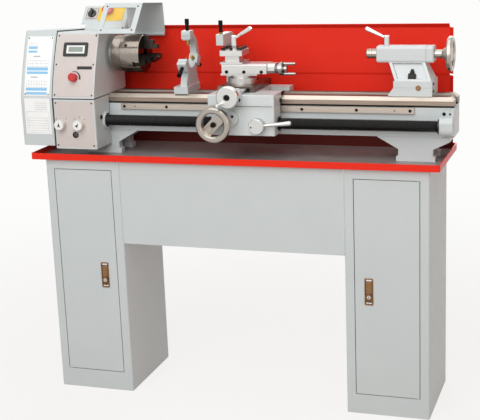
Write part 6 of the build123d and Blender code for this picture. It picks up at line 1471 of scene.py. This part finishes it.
@dataclass
class CarriageFittings:
    """Screws, caps and wipers of the carriage, each on the body that carries it.

    A screw is the radius and the height of its head. Places are taken from the node's own box.
    """

    slide_screw: Pair = (6.0, 3.0)
    slide_at: Triple = (21.0, 18.0, -1.0)
    gib_screw: Pair = (5.4, 3.0)
    gib_at: Triple = (16.5, 74.5, 132.5)
    gib_rise: float = 6.0
    cross_screw: Pair = (9.4, 4.4)
    cross_recess: float = 63.0
    plate_screw: Pair = (5.5, 4.0)
    plate_at: Pair = (23.0, -14.0)
    # Strip of painted shade in the seam under the apron: height, corner radius, thickness and chamfer, and
    # how much shorter than the apron it is
    seam_shade: Box = (1.4, 0.3, 1.2, 0.2)
    seam_shade_short: float = 10.0
    boss_screw: Pair = (4.2, 2.0)
    boss_at: tuple[Pair, Pair] = ((46.0, 18.0), (36.0, -5.0))
    wheel_bolt: Pair = (8.8, 6.0)
    wheel_dish: float = 14.0
    inlay: Triple = (34.0, 22.0, 1.0)
    inlay_inside: Pair = (0.9, 0.84)
    inlay_sheet: Pair = (0.3, 0.05)
    inlay_at: Pair = (-28.0, 0.0)
    lever_plug: Triple = (2.9, 0.4, 0.1)
    lever_plug_at: Pair = (9.0, 23.0)
    top_wiper: Slab = (30.0, 11.0, 2.0, 3.0, 0.6)
    top_wiper_at: Pair = (17.0, 6.8)
    front_wiper: Slab = (15.0, 15.0, 2.0, 3.0, 0.6)
    front_wiper_at: Pair = (-9.0, -13.0)
    wiper_screw: Pair = (3.4, 2.0)
    clamp_step: float = 24.0
    clamp_reach: float = 30.0

    def build(self) -> None:
        """Works from the slides up to the tool post."""
        self.slides()
        self.cross_wheel()
        self.apron()
        self.apron_wheel()
        self.wipers()
        self.clamp_screws()

    def slides(self) -> None:
        """Two gib screws in the front end of the cross slide, and three along the compound slide."""
        low, mid, high = span("cross_slide")
        left, right, rise = self.slide_at
        spots = [(x, low[1], mid[2] + rise) for x in (low[0] + left, high[0] - right)]
        Surface().screws(spots, *self.slide_screw).piece("cross_slide_screws", BLACKED, "cross_slide")
        low = span("compound_slide")[0]
        spots = [(low[0] + at, low[1], low[2] + self.gib_rise) for at in self.gib_at]
        Surface().screws(spots, *self.gib_screw).piece("compound_gib_screws", BLACKED, "compound_slide")

    def cross_wheel(self) -> None:
        """Screw in the recess of the cross wheel, and the plate's screw beside it."""
        _, (mid_x, _, mid_z), high = span("cross_handwheel")
        made = Surface().screws([(mid_x, high[1] - self.cross_recess, mid_z)], *self.cross_screw)
        made.piece("cross_wheel_screw", BLACKED, "cross_handwheel")
        across, rise = self.plate_at
        made = Surface().screws([(mid_x + across, span("saddle")[0][1], mid_z + rise)], *self.plate_screw)
        made.piece("screw_plate_screw", BLACKED, "carriage")

    def apron(self) -> None:
        """Black strip of painted shade in the seam between apron and saddle, and the dark plug near the rim
        of the feed lever's hub.
        """
        low, mid, high = span("apron")
        joint = flat_place((mid[0], span("saddle")[0][1], high[2] + self.seam_shade[0] / 2))
        # A black strip of painted shade along the seam where the apron meets the saddle
        made = Surface().slab((high[0] - low[0] - self.seam_shade_short, *self.seam_shade), joint)
        made.piece("apron_seam_shade", RUBBER, "carriage", "black_rubber")
        low = span("feed_lever")[0]
        across, rise = self.lever_plug_at
        made = Surface().turn(disc(*self.lever_plug), (low[0] + across, low[1], low[2] + rise), segments=20)
        made.piece("feed_lever_plug", BLACKED, "feed_lever")

    def apron_wheel(self) -> None:
        """Screws in the boss behind the apron's handwheel, its hub's bolt and a plate let into its bar."""
        low, (mid_x, _, mid_z), _ = span("apron_handwheel")
        boss_y = span("apron")[0][1]
        made = Surface().screws([(mid_x + x, boss_y, mid_z + z) for x, z in self.boss_at], *self.boss_screw)
        made.piece("apron_boss_screws", BLACKED, "carriage")
        hub = (mid_x, low[1] + self.wheel_dish, mid_z)
        Surface().screws([hub], *self.wheel_bolt).piece("apron_wheel_bolt", BLACKED, "apron_handwheel")
        along = unit((1.0, 0.0, 1.0))
        place = flat_place(hub, along, np.cross(FORWARD, along))
        outline = dense(rounded(*self.inlay))
        made = Surface().rim(outline, outline * self.inlay_inside, place, *self.inlay_sheet, self.inlay_at)
        made.piece("apron_wheel_inlay", BRONZE, "apron_handwheel")

    def wipers(self) -> None:
        """Rubber wipers over the front way at both ends of the saddle, each with a screw."""
        low, _, high = span("saddle")
        pads, screws = Surface(), Surface()
        wipers = ((self.top_wiper, self.top_wiper_at), (self.front_wiper, self.front_wiper_at))
        for x, out in ((high[0], 1.0), (low[0], -1.0)):
            for pad, (back, rise) in wipers:
                face = flat_place((x, BED_LOW[1] + back, BED_TOP_Z + rise), (0.0, out, 0.0))
                pads.slab(pad, face)
                spot, axis = stand_on(face, 0.0, 0.0, pad[3])
                screws.screws([spot], *self.wiper_screw, axis)
        pads.piece("way_wipers", RUBBER, "carriage", "black_rubber")
        screws.piece("way_wiper_screws", BLACKED, "carriage")

    def clamp_screws(self) -> None:
        """Square-headed clamp screws round the top of the tool post, three to a side."""
        _, mid, high = span("tool_post")
        segments, neck, head = 16, 3.4, 5.6
        stem = [(SUNK, 0.0), (SUNK, neck), (3.0, neck)]
        square = [(3.0, head), (8.6, head), (9.4, head - 0.8), (9.4, 0.0)]
        swell = np.ones((len(stem) + len(square), segments))
        swell[len(stem):] = polygon_swell(4, segments)
        made = Surface()
        for side in range(4):
            for step in (-self.clamp_step, 0.0, self.clamp_step):
                across, back = spun(np.array([step, self.clamp_reach]), 90.0 * side)
                made.turn(stem + square, (mid[0] + across, mid[1] + back, high[2]), UP, segments, swell)
        made.piece("tool_post_clamp_screws", JAWS, "tool_post")


@dataclass
class TailFittings:
    """Clamp bolt, set-over bolt and end screws of the tailstock. Places are from its seat's left end."""

    seat: float = 119.0
    clamp_at: Triple = (55.0, 14.0, 20.0)
    clamp_foot: float = 3.0
    pocket_slope: Pair = (0.449, 1.0)
    nut: Slab = (24.0, 18.0, 2.4, 9.0, 1.4)
    stud: Slab = (13.0, 9.0, 2.4, 8.0, 1.4)
    stud_end: Slab = (9.0, 8.0, 2.4, 7.0, 1.4)
    clamp_up: Triple = (9.0, 21.5, 28.5)
    setover_at: float = 77.0
    setover_bolt: Pair = (8.4, 2.6)
    end_screw: Pair = (4.5, 2.5)
    end_at: Triple = (22.0, -12.0, 10.0)

    def build(self) -> None:
        """Makes the bolts on the body that slides: the clamp is a broad nut with a narrower stud over it."""
        low, _, high = span("tailstock_base")
        seat_x = high[0] - self.seat
        (along, inward, up), (back, rise) = self.clamp_at, self.pocket_slope
        foot_y, foot_z = low[1] + inward + self.clamp_foot * back, high[2] + up + self.clamp_foot
        face = flat_place((seat_x + along, foot_y, foot_z), RIGHT, (0.0, back, rise))
        made = Surface()
        for block, at in zip((self.nut, self.stud, self.stud_end), self.clamp_up):
            made.slab(block, face, (0.0, at))
        made.piece("tail_clamp_bolt", BLACKED, "tailstock")
        made = Surface().screws([(seat_x + self.setover_at, low[1], high[2])], *self.setover_bolt)
        made.piece("tail_setover_bolt", BRONZE, "tailstock")
        inward, *rises = self.end_at
        spots = [(high[0], low[1] + inward, high[2] + rise) for rise in rises]
        Surface().screws(spots, *self.end_screw, RIGHT).piece("tail_end_screws", BLACKED, "tailstock")


@dataclass
class BedFittings:
    """Screws and pins of the feed rack and of the leadscrew's bracket."""

    rack_screws: tuple[float, ...] = (-381.0, -232.0, 50.0, 225.0, 400.0, 567.0)
    rack_screw: Pair = (5.0, 1.2)
    rack_pins: Pair = (-343.0, 519.0)
    rack_pin: Triple = (2.2, 0.5, 0.2)
    bracket_y: float = BED_LOW[1] - 12.0
    bracket_down: float = 11.5
    bracket_bolts: tuple[Pair, Pair] = ((10.0, 5.4), (-12.0, 3.0))
    bolt_t: float = 3.0

    def build(self) -> None:
        """Makes the rack's screws and pins, then the bracket's bolts."""
        low, mid, _ = span("feed_rack")
        made = Surface().screws([(x, low[1], mid[2]) for x in self.rack_screws], *self.rack_screw)
        for x in self.rack_pins:
            made.turn(disc(*self.rack_pin), (x, low[1], mid[2]), segments=20)
        made.piece("rack_screws", BLACKED, "frame")
        low, _, high = span("leadscrew_bracket")
        bolts = Surface()
        for end, (across, head) in zip((low, high), self.bracket_bolts):
            spot = (end[0] + across, self.bracket_y, high[2] - self.bracket_down)
            bolts.screws([spot], head, self.bolt_t)
        bolts.piece("bracket_bolts", BLACKED, "frame")


def turned_to(axes: Sequence[Array], at: Point) -> Array:
    """Matrix of a camera or lamp.

    Args:
        axes: Its right, its up and the direction behind it.
        at: Its place in millimetres.

    Returns:
        Array of four by four, in metres.
    """
    rows = np.eye(4)
    rows[:3, :3] = np.stack(axes, axis=1)
    rows[:3, 3] = np.asarray(at) * MM
    return rows


@dataclass
class Studio:
    """Pale floor, soft lamps and the camera that stands where the photograph's did.

    A lamp is its name, its place, its size, its power in watts and its tint.
    """

    camera_at: Triple = (1224.08, SPINDLE_Y - 3642.05, 1595.93)
    azimuth: float = 18.78
    elevation: float = 14.41
    roll: float = -2.27
    lens: float = 89.61
    sensor: float = 36.0
    floor_half: float = 14000.0
    floor_z: float = -0.2
    floor_paint: str = "D6CDC8"
    floor_lift: float = 0.82
    floor_fade: Pair = (700.0, 3200.0)
    backdrop: str = "FDFDFC"
    white: str = "FFFFFF"
    sky: float = 0.19
    aim_z: float = 750.0
    lamps: tuple[tuple[str, Triple, float, float, str], ...] = (
        ("key", (0.0, -4050.0, 3300.0), 4200.0, 172.0, "FFFFFF"),
        ("top", (-100.0, -600.0, 4400.0), 4200.0, 70.0, "FFFFFF"),
        ("side", (3600.0, -900.0, 1900.0), 1800.0, 12.0, "FFCCAC"),
        ("back", (-400.0, 4200.0, 2600.0), 3600.0, 105.0, "FFFFFF"),
    )

    def build(self) -> None:
        """Sets the stage round the machine."""
        self.aim()
        self.light_sky()
        for lamp in self.lamps:
            self.add_lamp(*lamp)
        self.lay_floor()
        bpy.context.scene.view_settings.view_transform = "Standard"

    def aim(self) -> None:
        """Puts the camera at its place, turned to the photograph's angle and roll."""
        turn, lift, lean = (math.radians(value) for value in (self.azimuth, self.elevation, self.roll))
        level = math.cos(lift)
        back = np.array([math.sin(turn) * level, -math.cos(turn) * level, math.sin(lift)])
        right = unit(np.cross(-back, UP))
        up = np.cross(right, -back)
        across = math.cos(lean) * right + math.sin(lean) * up
        rise = -math.sin(lean) * right + math.cos(lean) * up
        data = bpy.data.cameras.new("camera")
        data.lens = self.lens
        data.sensor_width = self.sensor
        bpy.context.scene.camera = stood("camera", data, turned_to((across, rise, back), self.camera_at))

    def seen(self, tree: Tree) -> Socket:
        """1 for rays from the camera, from gloss and through glass, which see the white backdrop.

        Args:
            tree: Node tree of the floor or of the world.

        Returns:
            The mask.
        """
        path = add(tree, "LightPath").node.outputs
        either = {0: path["Is Camera Ray"], 1: path["Is Glossy Ray"]}
        either = {0: add(tree, "Math", either, operation="MAXIMUM"), 1: path["Is Transmission Ray"]}
        return add(tree, "Math", either, operation="MAXIMUM")

    def light_sky(self) -> None:
        """A plain even sky, which the camera sees as a white backdrop."""
        bpy.context.scene.world = bpy.data.worlds.new("studio")
        tree = cleared(bpy.context.scene.world)
        dim = add(tree, "Background", {"Color": linear(self.white), "Strength": self.sky})
        white = add(tree, "Background", {"Color": linear(self.backdrop), "Strength": 1.0})
        mixed = add(tree, "MixShader", {0: self.seen(tree), 1: dim, 2: white})
        add(tree, "OutputWorld", {"Surface": mixed})

    def add_lamp(self, name: str, at: Triple, size: float, power: float, tint: str) -> None:
        """Adds a square lamp that faces the middle of the machine.

        Args:
            name: Its name.
            at: Its place.
            size: Length of its side.
            power: Power in watts.
            tint: Its colour.
        """
        data = bpy.data.lights.new(name, "AREA")
        data.size = size * MM
        data.energy = power
        data.color = linear(tint)[:3]
        stood(name, data, turned_to(square_to(np.asarray(at) - (0.0, 0.0, self.aim_z)), at))

    def lay_floor(self) -> None:
        """A wide floor: pale paint with the shadow near the machine, which fades into the backdrop."""
        made = bpy.data.materials.new("studio_floor")
        tree = cleared(made)
        paint = add(tree, "BsdfDiffuse", {"Color": linear(self.floor_paint)})
        glow = add(tree, "Emission", {"Color": linear(self.backdrop), "Strength": 1.0})
        spot = add(tree, "TexCoord", out="Object")
        away = add(tree, "VectorMath", {0: spot}, "Value", operation="LENGTH")
        near, far = (reach * MM for reach in self.floor_fade)
        inputs = {0: away, 1: near, 2: far, 3: self.floor_lift, 4: 1.0}
        lift = add(tree, "MapRange", inputs, interpolation_type="SMOOTHSTEP")
        share = add(tree, "Math", {0: self.seen(tree), 1: lift}, operation="MULTIPLY")
        add(tree, "OutputMaterial", {"Surface": add(tree, "MixShader", {0: share, 1: paint, 2: glow})})
        side = np.array([-self.floor_half, self.floor_half])
        grid = np.stack([*np.meshgrid(side, side, indexing="ij"), np.full((2, 2), self.floor_z)], axis=-1)
        data = bpy.data.meshes.new("floor")
        data.from_pydata(grid.reshape(-1, 3) * MM, [], [(0, 2, 3, 1)])
        data.materials.append(made)
        stood("floor", data)


def main() -> None:
    """Dresses the model, builds the fittings and sets the stage."""
    logging.basicConfig(level=logging.INFO, format="%(name)s: %(message)s")
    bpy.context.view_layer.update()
    dress_model()
    for part in (HeadFittings, CoverPlates, BoxPlates, HoodScrews):
        part().build()
    for part in (CarriageFittings, TailFittings, BedFittings):
        part().build()
    for side, bodies in ((Side.LEFT, ("frame", "carriage")), (Side.RIGHT, ("carriage", "frame"))):
        DoorLock(side).build()
        Bellows(side, bodies).build()
    Studio().build()
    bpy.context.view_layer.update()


if __name__ == "__main__":
    main()
